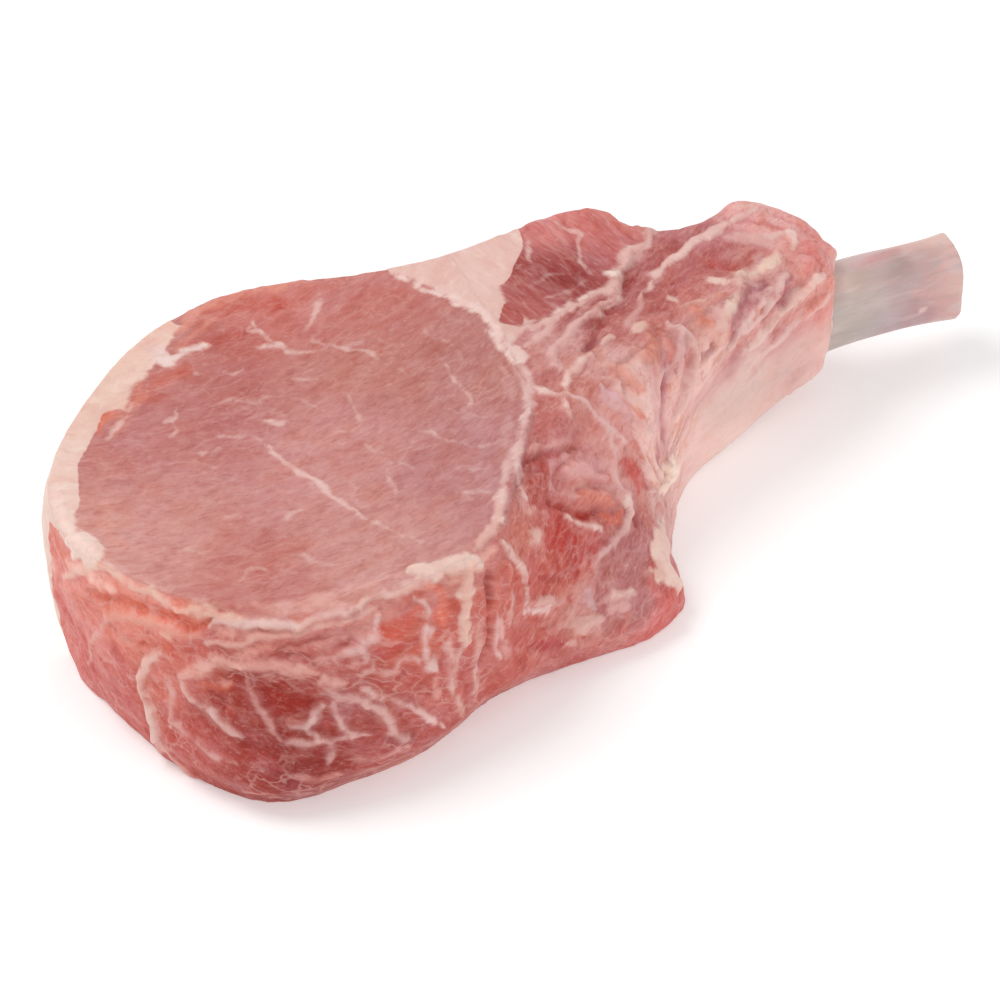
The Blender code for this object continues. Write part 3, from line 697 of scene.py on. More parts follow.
    # the net of threads that fans out to the right
    s.lay([(-69, -43, 20), (-66.5, -44, 20), (-63.5, -44, 22)], 0.8, "e9c8c2", 0.9, rise=0.4)
    s.lay([(-63, -44.5, 20), (-63, -45.5, 18)], 1, "b65650", 0.9, rise=-0.3)
    s.lay([(-65, -43.5, 21.5), (-66, -44.5, 19), (-63.5, -45.5, 16), (-60.5, -46, 16),
           (-60, -46, 18)], 0.45, "e3b6b0", 0.85, rise=0.3)
    s.lay([(-71, -43, 17), (-67.5, -44.5, 16.5), (-64.5, -45.5, 16.5), (-63, -46, 15),
           (-64, -46.5, 12)], 0.6, "e8beb8", 0.9, rise=0.4)
    s.lay([(-61.5, -44, 22.5), (-61, -45.5, 19.5), (-59, -46.5, 16),
           (-56.5, -47, 15)], 0.65, "e8beb8", 0.9, rise=0.4)
    s.lay([(-62.5, -41.5, 27.5), (-61.5, -43.5, 24), (-57.5, -45, 22.5), (-53.5, -46, 19), (-52, -47, 15.5),
           (-49.5, -47.5, 10.5)], 0.85, "e2b4ad", 0.85, rise=0.45)
    s.lay([(-63, -42, 27), (-61.5, -42.5, 26), (-58.5, -43, 26)], 1.1, "d9a198", 0.7, rise=0.2)
    s.lay([(-56, -44.5, 24), (-51, -46, 20), (-46.5, -46.5, 15.5),
           (-41.5, -46, 9)], 0.7, "e9c2bc", 0.95, rise=0.5)
    s.lay([(-60, -44.5, 22), (-56.5, -45.6, 19.5), (-54.5, -47, 14)], 1.1, "a8504b", 0.8, rise=-0.3)
    s.lay([(-53.5, -45.5, 21.5), (-49, -46.5, 16), (-45.5, -47, 11.5)], 0.7, "bd635c", 0.8, rise=-0.3)
    s.lay([(-49.5, -45, 22.5), (-45, -46, 17.5), (-41, -45.5, 12.5)], 1, "cb7b75", 0.7, rise=-0.1)
    s.lay([(-69.5, -45, 13), (-67, -45.5, 13.5)], 0.9, "b3544f", 0.7, rise=-0.2)
    s.lay([(-61, -47, 10.5), (-54.5, -47.5, 9.5), (-49, -47.5, 9)], 0.5, "dca49e", 0.8, rise=0.25)
    s.lay([(-62.5, -47, 7.5), (-55, -47, 5.5), (-50.5, -47, 6)], 0.6, "b2504a", 0.7, rise=-0.1)
    s.lay([(-70, -46, 9.5), (-66, -47, 8), (-62, -47, 8)], 1.4, "d4958e", 0.7, rise=0.1)
    s.lay([(-77, -40, 3.5), (-73.5, -44.5, 6)], 0.8, "dd9f95", 0.7, rise=0.2)
    s.lay([(-92.8, 6.5, 26), (-92.7, 5, 21)], 1.8, "efc3b6", 0.8)
    s.lay([(-76.5, -29.5, 33.3), (-74, -31.5, 34)], 1.3, "e3a698", 0.85)
    s.lay([(-72.5, -37, 28.5), (-69, -38.8, 27.8)], 1.3, "cb8b7f", 0.7)
    s.lay([(-69.5, -42.5, 21), (-66.5, -43.6, 20.8)], 1.0, "c4807a", 0.7)
    s.lay([(-75, -33.2, 31.2), (-72, -34.8, 31.8), (-69, -36, 32.3)], 1.4, "dd9c90", 0.85)
    s.lay([(-78.5, -33.2, 25.5), (-76.5, -35, 25.8)], 1.2, "d08a7b", 0.8)
    s.lay([(-43.5, -44.5, 20), (-42, -45.3, 16)], 1.3, "dca49c", 0.8)
    s.lay([(-58, -42.3, 28.6), (-55, -42.8, 28)], 1.3, "d79c94", 0.8)
    s.lay([(-89.5, -14, 20), (-88.8, -16.7, 15.8), (-88.5, -17.5, 11)], 2.6, "bf5c54", 0.7)
    s.lay([(-87, -22.5, 16), (-86.6, -23.8, 10), (-86.2, -24.6, 3.5)], 1.6, "e0b0a8", 0.75)
    s.lay([(-62, -34.9, 37.4), (-58.5, -35.5, 37.3), (-54, -36, 37.2)], 1.3, "e6b5ad", 0.8)
    # two orange windows of muscle in a pale frame
    s.lay([(-52, -40.5, 32.3), (-47.5, -40.8, 32), (-43.9, -39.8, 33)], 2.7, "cb5f50", 0.95, rise=0.1)
    s.lay([(-53, -42.3, 29.5), (-48, -42.7, 28.7), (-44.5, -42.3, 29)], 1.8, "b8504a", 0.9, rise=-0.3)
    s.lay([(-50.5, -39, 34.5), (-52, -40.5, 32.5), (-54.5, -41, 31.5),
           (-54.5, -42, 29)], 0.6, "e6c0bc", 0.9, rise=0.4)
    s.lay([(-56, -43, 27.5), (-51, -44, 26), (-48.5, -43.5, 26.5),
           (-45.5, -43.5, 25.5)], 0.55, "e3b8b1", 0.9, rise=0.4)
    s.lay([(-55.5, -43.5, 26), (-51.5, -44.5, 24.5), (-48, -44.5, 24.5)], 0.6, "bd625c", 0.8, rise=-0.3)
    s.lay([(-44, -38.5, 35), (-42.3, -39.3, 33), (-42, -40.5, 31), (-43, -42, 28.5), (-44, -43, 26.5),
           (-42.5, -44.5, 22.5)], 0.6, "e8c6c1", 0.95, rise=0.5)
    s.lay([(-43.5, -43.5, 25), (-42, -44.5, 22.5)], 0.95, "ecd0cb", 0.9, rise=0.3)
    s.lay([(-39.5, -37.6, 35.7), (-38.8, -39, 33.5), (-39.8, -41.3, 30)], 2.3, "dd7560", 0.95, rise=0.2)
    s.lay([(-41.5, -37.5, 35.5), (-39, -37.5, 35.5)], 0.9, "e39a82", 0.8, rise=0.1)
    s.lay([(-40, -42.5, 26), (-39, -44, 21.5), (-39, -45, 16)], 0.6, "e2b5ae", 0.85, rise=0.3)
    s.lay([(-42.5, -45, 20.5), (-42, -46, 16)], 1.1, "d7958c", 0.8, rise=-0.2)
    s.lay([(-36.5, -44, 15), (-39, -45, 12)], 0.9, "cd7b74", 0.8, rise=-0.1)
    s.lay([(-46, -37, 36.5), (-42, -37, 36.5), (-39, -37, 36)], 1.3, "e9b9ad", 0.8)
    s.lay([(-38.5, -42.5, 26), (-38, -43.5, 22)], 1.3, "dfb0a7", 0.8)
    s.lay([(-32.5, -40.5, 26), (-33, -42.4, 17)], 1.8, "d6a59d", 0.8)
    s.fat_along([(-41.5, -35, 38), (-39, -36, 37.5), (-36.5, -36, 37.5), (-33, -36, 37),
           (-30, -36.5, 35)], 1.9, "edcbbe", rise=0.8)
    s.fat_along([(-32, -36.5, 36), (-33, -38, 34), (-34.5, -39.5, 31), (-35, -41, 27), (-35, -42, 24)], 1.3, "e8bcae", rise=0.6)
    s.lay([(-35, -42, 24), (-38.5, -44, 19.5), (-38.5, -45, 13), (-37, -44, 8)], 0.7, "e3b7ad", 0.85, rise=0.3)
    s.lay([(-32.5, -42, 18.5), (-34, -43, 15.5), (-33, -42.5, 9.5)], 0.7, "e3bab3", 0.85, rise=0.3)
    s.lay([(-28.5, -37, 33), (-29.5, -39.5, 27), (-30, -41, 22),
           (-32, -42, 17.5)], 0.75, "a4443c", 0.95, rise=-1.1)
    s.lay([(-28, -39.5, 24.5), (-29, -40.5, 19.5), (-28, -40.5, 14.5)], 1.3, "deb6b2", 0.9, rise=0.3)
    s.lay([(-27, -37, 32.5), (-27.5, -38.5, 27)], 1, "cc6a57", 0.9, rise=0.3)
    s.lay([(-24, -35.5, 32), (-24, -37.5, 26), (-25, -39, 21)], 0.5, "e3b2a8", 0.85, rise=0.2)
    s.lay([(-21.5, -35, 29), (-22.5, -37, 23.5), (-23.5, -38.5, 18)], 1.1, "c86a5f", 0.85, rise=0.3)


def seams(s):
    """Fat and silverskin between the muscles on the sawn face."""
    # round the eye: the wedge border and the long seam down to the front
    s.fat_along([(-12.5, 35.5, 38), (-6.5, 26, 38), (-2.5, 18.5, 38), (-3, 11, 38), (-3.3, 3.5, 38)], 0.8, "eecdc6")
    s.fat_along([(-2.3, 4, 38), (-4.5, 1.5, 38), (-4.5, -3, 38), (-6, -7.5, 38), (-10, -12.5, 38), (-13.5, -16.5, 38),
                 (-17, -21, 38), (-20.5, -26, 38)], 0.5, "e0b7b1", rise=0.1)
    s.fat_along([(-20.5, -26, 38), (-24, -31, 37.5), (-30, -34.5, 37.5)], 1.1, "e4b7ad", rise=0.1)
    s.fat_along([(-24.5, -33.5, 36), (-22, -34.3, 31.5), (-20.3, -35, 27), (-21, -37, 21.5)], 0.75, "e9c3bb", rise=0.25)
    s.fat_along([(-21.5, -37.3, 20.5), (-17.5, -36.3, 18.5), (-14, -35.5, 17)], 0.8, "e7c3be", rise=0.2)
    # between cap and rib meat, and the second line beside it
    s.fat_along([(32, 23, 38), (28.5, 21, 38), (26, 18, 38.5), (22.5, 14.5, 38.5), (19.5, 13.5, 38.5),
           (16, 13.5, 38.5), (12, 12.5, 38.5), (9.5, 12, 38.5), (6, 11.5, 38.5),
           (3.5, 11.5, 38.5)], 0.9, "e3b7af", rise=0.25)
    s.fat_along([(25.5, 17, 38.5), (22, 12.5, 38.5), (18, 10.5, 38.5), (15.5, 9, 38.5), (12, 8, 38.5),
           (9.5, 6.5, 38.5), (7, 5, 38.5), (4.5, 3.5, 38.5), (3.5, 2, 38.5),
           (3, -0.5, 38.5)], 0.55, "e0b0a8", rise=0.3)
    s.fat_along([(22.5, 18, 38.5), (23.5, 17.5, 38.5), (24.5, 16, 38.5)], 0.7, "f0d6cc", rise=0.3)
    s.lay([(30, 20, 38), (26.5, 16.5, 38), (23, 12, 38), (18.5, 9, 38.5),
           (14.5, 6, 38.5)], 1.4, "ad5c5c", 0.8, rise=-0.4)
    s.lay([(12.5, 3, 38.5), (10.5, 2, 38.5), (9, 1, 38.5)], 1, "a65053", 0.9, rise=-0.5)
    s.lay([(15, 2.5, 38.3), (13.5, 1, 38.3)], 1.4, "dcb0a9", 0.8, rise=0.2)
    s.fat_along([(10.5, -0.5, 38), (7, -2, 38), (4.5, -3.5, 38), (3, -5.5, 38),
           (2, -7.5, 38)], 0.7, "e6bdb4", rise=0.3)
    s.lay([(10.5, -0.5, 38), (11, -2.5, 38), (12.5, -5, 38)], 0.6, "e3b6ac", 0.85, rise=0.3)
    s.lay([(12, -4.5, 38), (13.5, -7, 37), (15.5, -8, 34)], 2.6, "db8f80", 0.85, rise=0.7)
    s.lay([(10, -8, 36), (12, -10, 33), (14.5, -10.5, 30)], 1.8, "da8d7f", 0.85, rise=0.5)
    s.lay([(10, -5.5, 38), (11.5, -7, 37), (12, -8.5, 35), (14.5, -9.5, 33),
           (16.5, -9.5, 30)], 0.5, "e9bfb6", 0.9, rise=0.45)
    s.lay([(9, -7, 37.5), (9, -8.5, 35), (11.5, -10.5, 32), (14.5, -11, 29),
           (16.5, -11, 25)], 0.55, "e6bcba", 0.9, rise=0.45)
    s.lay([(9.5, -7.5, 37), (9, -9, 34.5)], 0.7, "dcb2b6", 0.7, rise=0.1)
    s.lay([(21, 3, 38), (22.5, 1.5, 38)], 1, "e6bcae", 0.8, rise=0.2)
    s.lay([(21, -0.5, 38), (21, -3.5, 38), (19, -5.5, 37.5)], 2.2, "dc9485", 0.8, rise=0.5)
    # over the cap muscle: three lobes with grooves between
    s.lay([(14, 33, 37), (17, 34.5, 38), (20, 33.5, 38.5)], 3.2, "c66865", 0.6, rise=0.6)
    s.lay([(26, 34, 38), (30, 31.5, 38)], 3.4, rise=0.5)
    s.lay([(33.5, 27, 37), (34.5, 24, 37)], 2.6, rise=0.5)
    s.lay([(22.5, 37, 36), (22, 34, 39), (21.4, 29.7, 39.3)], 0.9, "b05450", 0.6, rise=-0.35)
    s.lay([(12, 22, 39), (15, 19.5, 39), (19, 20, 39)], 2.6, "974443", 0.6, rise=-0.2)
    s.lay([(26, 27, 39), (29, 24, 39), (28, 21, 39)], 2.2, "c87470", 0.6, rise=0.3)
    s.thread_along([(19.5, 36.5, 39.5), (20.5, 33, 39.5), (22, 30.5, 39.5), (22, 28, 39), (20, 23, 39), (20, 19, 39)],
                   0.40, 0.75, rise=-0.25)
    s.thread_along([(13, 31, 39), (12, 27, 39)], 0.35, 0.8)
    s.thread_along([(7, 26, 38.5), (9.5, 27, 39)], 0.3, 0.7)
    s.thread_along([(10, 17, 39), (14, 16, 39), (18, 18, 39)], 0.25, 0.55)
    s.thread_along([(9, 20, 39), (12, 22, 39), (15, 21, 39)], 0.22, 0.5)


def rib_ridges(s):
    """Ridges of muscle and membrane between the ribs, from the top of the strip down its inner side."""
    s.lay([(56, 19, 37), (61, 16, 35), (64, 12, 34)], 1.3, "e8a49d", 0.8, rise=0.35)
    s.lay([(59, 21, 36), (63.5, 18, 34), (66.5, 13, 32.5)], 0.8, "d9837e", 0.8, rise=-0.3)
    s.lay([(50, 21, 38), (55, 19, 37), (59, 17, 36)], 1.0, "c97877", 0.75, rise=-0.2)
    s.lay([(59, 13, 35), (62, 9, 34), (62, 6.5, 33)], 1.0, "d0736b", 0.8, rise=-0.3)
    s.lay([(26.5, 1.5, 38), (28.5, -1.5, 38), (30, -3, 36.5), (29.5, -3.5, 34), (28, -5, 31.5),
           (27.5, -5.5, 28.5), (25.5, -6, 25.5), (23.5, -7.5, 23.5)], 0.8, "e9c2ba", 0.9, rise=0.7)
    s.lay([(28.5, -0.5, 38), (27.5, -3.5, 37), (25.5, -4.5, 35.5), (23, -5.5, 34.5), (21, -6.5, 34),
           (19.5, -7.5, 32), (19.5, -8.5, 29), (18, -10, 26)], 0.75, "e6bdb8", 0.9, rise=0.6)
    s.lay([(19, -6, 36), (18, -8, 33), (18.5, -8.5, 29.5), (18, -9.5, 27)], 0.6, "e3b9b6", 0.8, rise=0.4)
    s.lay([(24, -5.5, 33.5), (22, -6.5, 33), (20.5, -7.5, 30.5),
           (20, -8.5, 27.5)], 0.8, "b9787f", 0.8, rise=-0.5)
    s.lay([(28.5, -4, 34), (27, -5, 32), (26, -5.5, 29.5)], 0.7, "cf8a80", 0.7, rise=-0.4)
    s.lay([(35, -2, 34), (34, -3, 32.5), (31, -3.5, 32.5), (29.5, -4.5, 31.5)], 1, "a55a66", 0.95, rise=-0.6)
    s.lay([(33, -2.5, 35), (30.5, -3.5, 34), (28.5, -4.5, 32.5), (28, -5, 29.5)], 0.6, "e4b8b2", 0.85, rise=0.5)
    s.lay([(37.5, -2, 32.5), (36, -3, 30), (34, -3.5, 28), (31.5, -4, 26.5)], 0.6, "e6beb8", 0.85, rise=0.5)
    s.lay([(9, 11.5, 38.6), (5.5, 9, 38.5), (2.5, 7.5, 38.4)], 1.1, "e4bbb3", 0.85, rise=0.2)
    s.lay([(27, 19.6, 38.2), (23, 16.8, 38.4)], 1.3, "e4bbb3", 0.85, rise=0.2)
    # deep red muscle between the seam of the cap and the long pale strand
    s.lay([(47, 21.5, 38), (40, 20.5, 38), (34, 19, 38), (29, 16, 38), (24, 12, 38)], 2.0, "a95a58", 0.55)
    s.lay([(30, 12.5, 38), (25, 10, 38), (20, 8, 38)], 1.7, "a9534f", 0.75, rise=-0.2)
    s.lay([(21, 13.4, 38.4), (16, 11.8, 38.4), (12, 9.5, 38.4)], 0.9, "cf9a98", 0.7, rise=0.25)
    s.lay([(18, 16, 38.6), (14, 13.8, 38.6), (10, 12.4, 38.6)], 1.3, "a05250", 0.75, rise=-0.25)
    s.lay([(50, 15, 38), (43, 14.5, 38), (36, 13, 38), (31, 10.5, 38), (26, 7.5, 38)], 1.9, "b4605b", 0.55, rise=-0.15)
    s.lay([(20, 6, 38), (15, 3, 38), (11, 4.5, 38)], 1.5, "b9706b", 0.5)
    s.lay([(45, 12, 38), (42, 8.5, 38), (38, 6, 38)], 1.3, "c06a60", 0.6, rise=-0.2)
    # mauve muscle with pale strands between, near the tip
    s.lay([(50, 5.8, 36.6), (43.2, 1.4, 37.2), (38.8, -0.9, 34.6)], 2.5, "b27074", 0.95, rise=-0.5)
    s.lay([(57.5, 4.7, 33.3), (52, 2.8, 33), (45.5, 0.2, 32)], 1.5, "b57276", 0.95, rise=-0.4)
    s.lay([(60, 4.3, 30), (54, 2.4, 29.5), (48, 0.5, 28)], 1.2, "cf948e", 0.8, rise=-0.2)
    s.lay([(54.1, 6.2, 35.6), (50.6, 3.7, 36.1), (47.3, 2.1, 35.4), (41.5, -0.6, 33.3), (37.3, -2.4, 30.5)], 0.85,
          "ecc9c1", 0.95, rise=0.7)
    s.lay([(49, 3.6, 36.5), (45, 1.7, 36.2), (40.5, -0.4, 34)], 0.45, "e0b0ab", 0.8, rise=0.3)
    s.lay([(60.5, 6, 32.5), (59.2, 4.8, 32.7), (53.8, 2.9, 31.7), (47.4, 0.3, 30.1), (41.2, -1.6, 28.2)], 1.0,
          "efcdc2", 0.95, rise=0.7)
    s.lay([(62, 4.5, 28), (57, 2.8, 27.5), (50, 0.9, 25.5), (43, -1.2, 23)], 0.9, "ecc7bf", 0.8, rise=0.4)
    s.lay([(56, 2.4, 25.5), (49, 0.5, 23.5), (42, -1.7, 20.5)], 0.6, "d8a49d", 0.7, rise=-0.3)
    s.lay([(63.5, 6, 31), (63, 4.5, 30), (59.5, 3, 29), (55.5, 2, 27.5)], 1.6, "e29082", 0.85, rise=0.35)
    s.lay([(62.5, 13.5, 34), (61.5, 9.5, 33.5), (58, 5.5, 34.5)], 2.2, "e28a83", 0.85, rise=0.4)
    s.lay([(64, 5, 27.5)], 0.7, "ecc4ba", 0.85, rise=0.3)
    s.lay([(66.5, 11.5, 31), (67, 11, 28)], 1, "efd0c8", 0.9, rise=0.2)
    s.lay([(66, 14, 33.5), (67, 12, 31)], 2.8, rise=0.5)
    s.lay([(66, 8, 28), (65, 6.5, 26)], 2.2, "e0a098", 0.7, rise=0.4)
    s.lay([(67, 12.5, 31), (66.5, 9, 28), (65.8, 5.5, 24), (65.3, 4, 18), (65, 3.5, 12)], 1.5, "f0ccc3", 0.85, rise=0.3)
    s.lay([(66, 9, 30)], 1.4, "c4706b", 0.7, rise=-0.5)
    s.lay([(63.5, 3.5, 21), (62.5, 3, 17), (62, 3, 14)], 2.8, rise=0.5)
    s.lay([(58, 2, 14), (54, 1.5, 10)], 2.6, rise=0.6)
    s.lay([(61, 2.5, 13)], 1.6, rise=-0.7)
    s.lay([(53, 23.5, 39), (55.5, 23.5, 38.5), (57.5, 22.5, 37.5)], 1.6, "eac0b6", 0.8, rise=0.2)
    s.fat_along([(57, 22.5, 37.5), (50, 20.5, 38.5), (46, 19.5, 38.5), (43.5, 19, 38), (40, 18.5, 38),
           (37, 17, 38), (33.5, 16, 38), (30.5, 14, 38), (28, 12, 38), (25.5, 10, 38)], 0.75, "e6beb6", rise=0.3)
    s.lay([(49.5, 17, 38.5), (52, 15.5, 38), (54, 15, 37), (57.5, 15.5, 36), (60, 15, 35), (60, 13.5, 35),
           (58.5, 13, 35.5)], 0.5, "ecc8c0", 0.9, rise=0.4)
    s.fat_along([(43.5, 6.5, 37.6), (46.5, 8, 37.3), (50, 8.3, 37), (54, 9.2, 36)], 0.95, "eccab8", rise=0.2)
    s.lay([(51, 11, 36.8), (54, 12, 36)], 1.5, "cf827a", 0.8)
    s.lay([(43.5, 5, 37.6), (46, 5.2, 37.3), (48.5, 4.8, 36.7)], 1.3, "ddb0aa", 0.85)
    s.fat_along([(45.5, 8.5, 38), (43.5, 5, 37.5), (41, 2, 37.5), (38.5, 0, 37),
           (36.5, -1.5, 35.5)], 0.7, "e6bfb0", rise=0.4)
    s.fat_along([(39.5, 9, 38), (40.5, 7.5, 38), (42.5, 6.5, 38)], 0.7, "e9c6b8", rise=0.1)
    s.lay([(20, 2.5, 38), (23, 3, 38), (26, 3.5, 38)], 1.7, "cf8178", 0.8, rise=0.3)
    s.lay([(17, -2, 38), (19, -4, 37.5), (20.5, -6, 36)], 1.3, "e0a396", 0.85, rise=0.5)
    s.lay([(24.5, -1, 38), (24.5, -3.5, 37.5), (24, -5, 36)], 1.5, "d78a7c", 0.85, rise=0.5)
    s.lay([(14, 4, 38.3), (17, 5, 38.3), (20, 7, 38.3)], 1.3, "c9827c", 0.8, rise=0.2)
    s.lay([(32.5, 3.5, 38), (33.5, 0, 38), (35, -1.5, 37)], 2.2, "dd907e", 0.9, rise=0.4)
    s.lay([(38.5, 4.5, 38), (40, 3, 37.5)], 1.6, "dd9886", 0.85, rise=0.2)
    s.lay([(31, 5, 38), (32.5, 5, 38), (36, 3.5, 38), (37, 1, 38), (37, -0.5, 37),
           (35.5, -1.5, 36)], 0.5, "eac4ba", 0.9, rise=0.4)
    s.lay([(30.5, 8.5, 38), (31, 6.5, 38)], 0.7, "e9c4b8", 0.85, rise=0.15)
    s.lay([(23, 6, 38), (26, 6, 38), (29, 4.5, 38)], 1.8, "b4605f", 0.8, rise=-0.15)
    s.lay([(35, 12.5, 38), (35, 8.5, 38), (35.5, 5.5, 38)], 1.8, "bf7072", 0.7, rise=0.1)
    s.lay([(41, 13.5, 38), (43, 11.5, 38), (45.5, 9.5, 38)], 1.6, "c2665c", 0.85, rise=-0.1)
    s.lay([(48, 14, 38), (50.5, 13, 37.5), (53, 12, 37)], 1.2, "cd786e", 0.8, rise=0.1)
    s.lay([(31, -5.3, 12), (41, -2.3, 16), (50.5, 0.3, 18.5), (59, 1.8, 20.5)], 4.5, "d8b4ab", 0.45, soft=1.0)
    s.lay([(39.5, -2.7, 17), (46, -0.7, 16.5), (53.5, 1.3, 15.5)], 2.6, "cfb3ab", 0.6, soft=1.0)

    # the top again, over the broad patches: deep strips, and the pale ridges between them
    s.lay([(30, 18.5, 38), (23.5, 13, 38), (16, 8, 38.5), (10.5, 2.5, 38.5)], 1.9, "a24e4b", 0.85, rise=-0.3)
    s.lay([(41, 13, 38), (45.5, 10.5, 38), (51, 12.5, 37.5)], 1.8, "bb5a54", 0.85, rise=-0.2)
    s.lay([(33.5, 10.5, 38), (30, 7.5, 38), (26, 4.5, 38)], 1.5, "b05a5a", 0.8, rise=-0.2)
    s.lay([(51, 5.8, 36), (45.5, 1.9, 36.4), (40.5, -1, 33.5), (37.5, -2.5, 31.5)], 1.2, "b5727a", 0.9, rise=-0.3)
    s.lay([(55.5, 6.5, 35.5), (52, 3, 33.5), (50, 2, 33)], 1.3, "bd6f74", 0.9, rise=-0.3)
    s.lay([(62, 4.5, 30), (58, 3, 29.5), (52, 1.5, 28)], 1.1, "d98f83", 0.85)
    s.lay([(36, 25.5, 38), (33.5, 23, 38), (30.5, 21.5, 38), (28, 19.5, 38)], 1.2, "e6bcb4", 0.9, rise=0.3, taper=0.2)
    s.lay([(0.5, 7.5, 38.5), (3.5, 8.5, 38.5), (7.5, 9.5, 38.5)], 1.5, "e0b3ad", 0.8)
    s.lay([(26, 10.5, 38), (23, 7, 38), (19, 4, 38)], 0.8, "d9a29d", 0.85, rise=0.4)
    s.lay([(17, 10.5, 38.5), (13.5, 8.5, 38.5), (8.5, 6, 38.5), (4.5, 4, 38.5), (2.5, 1, 38.5), (3, -1.5, 38.5)], 0.8,
          "e2b3ae", 0.9, rise=0.5)
    s.lay([(13, 1.5, 38), (15.5, 2, 38)], 1.3, "e9c6b8", 0.9, rise=0.2)
    s.lay([(20, 1.8, 38), (22, 2, 38)], 1.1, "e8c3b5", 0.85, rise=0.2)
    s.lay([(9, -7, 37.5), (11, -9, 34), (12.5, -10, 32)], 0.6, "dfb9be", 0.8, rise=0.3)
    s.lay([(46.5, 17.5, 38.5), (51.5, 15.5, 38), (55.5, 12.5, 36), (55, 9, 35.5)], 0.7, "e4b5ac", 0.85, rise=0.4)
    s.lay([(56, 15, 36.5), (60, 15.5, 35.5), (60, 13, 35), (58.5, 12.5, 35)], 0.55, "f0d4ca", 0.95, rise=0.4)
    s.lay([(44.5, 7.5, 38), (47, 8, 37.5), (50.5, 9, 37), (55, 10.5, 36)], 1.0, "eccbbb", 0.9, rise=0.3)
    s.lay([(50.5, 3, 34.5), (45, 0.5, 33), (40, -1.5, 32), (38, -2.5, 30.5)], 0.75, "ebc8c3", 0.95, rise=0.5)
    s.lay([(62, 5.5, 32.5), (55, 3.5, 32), (47, 0, 29.5), (41, -1.5, 27)], 0.9, "eecbc1", 0.95, rise=0.5)


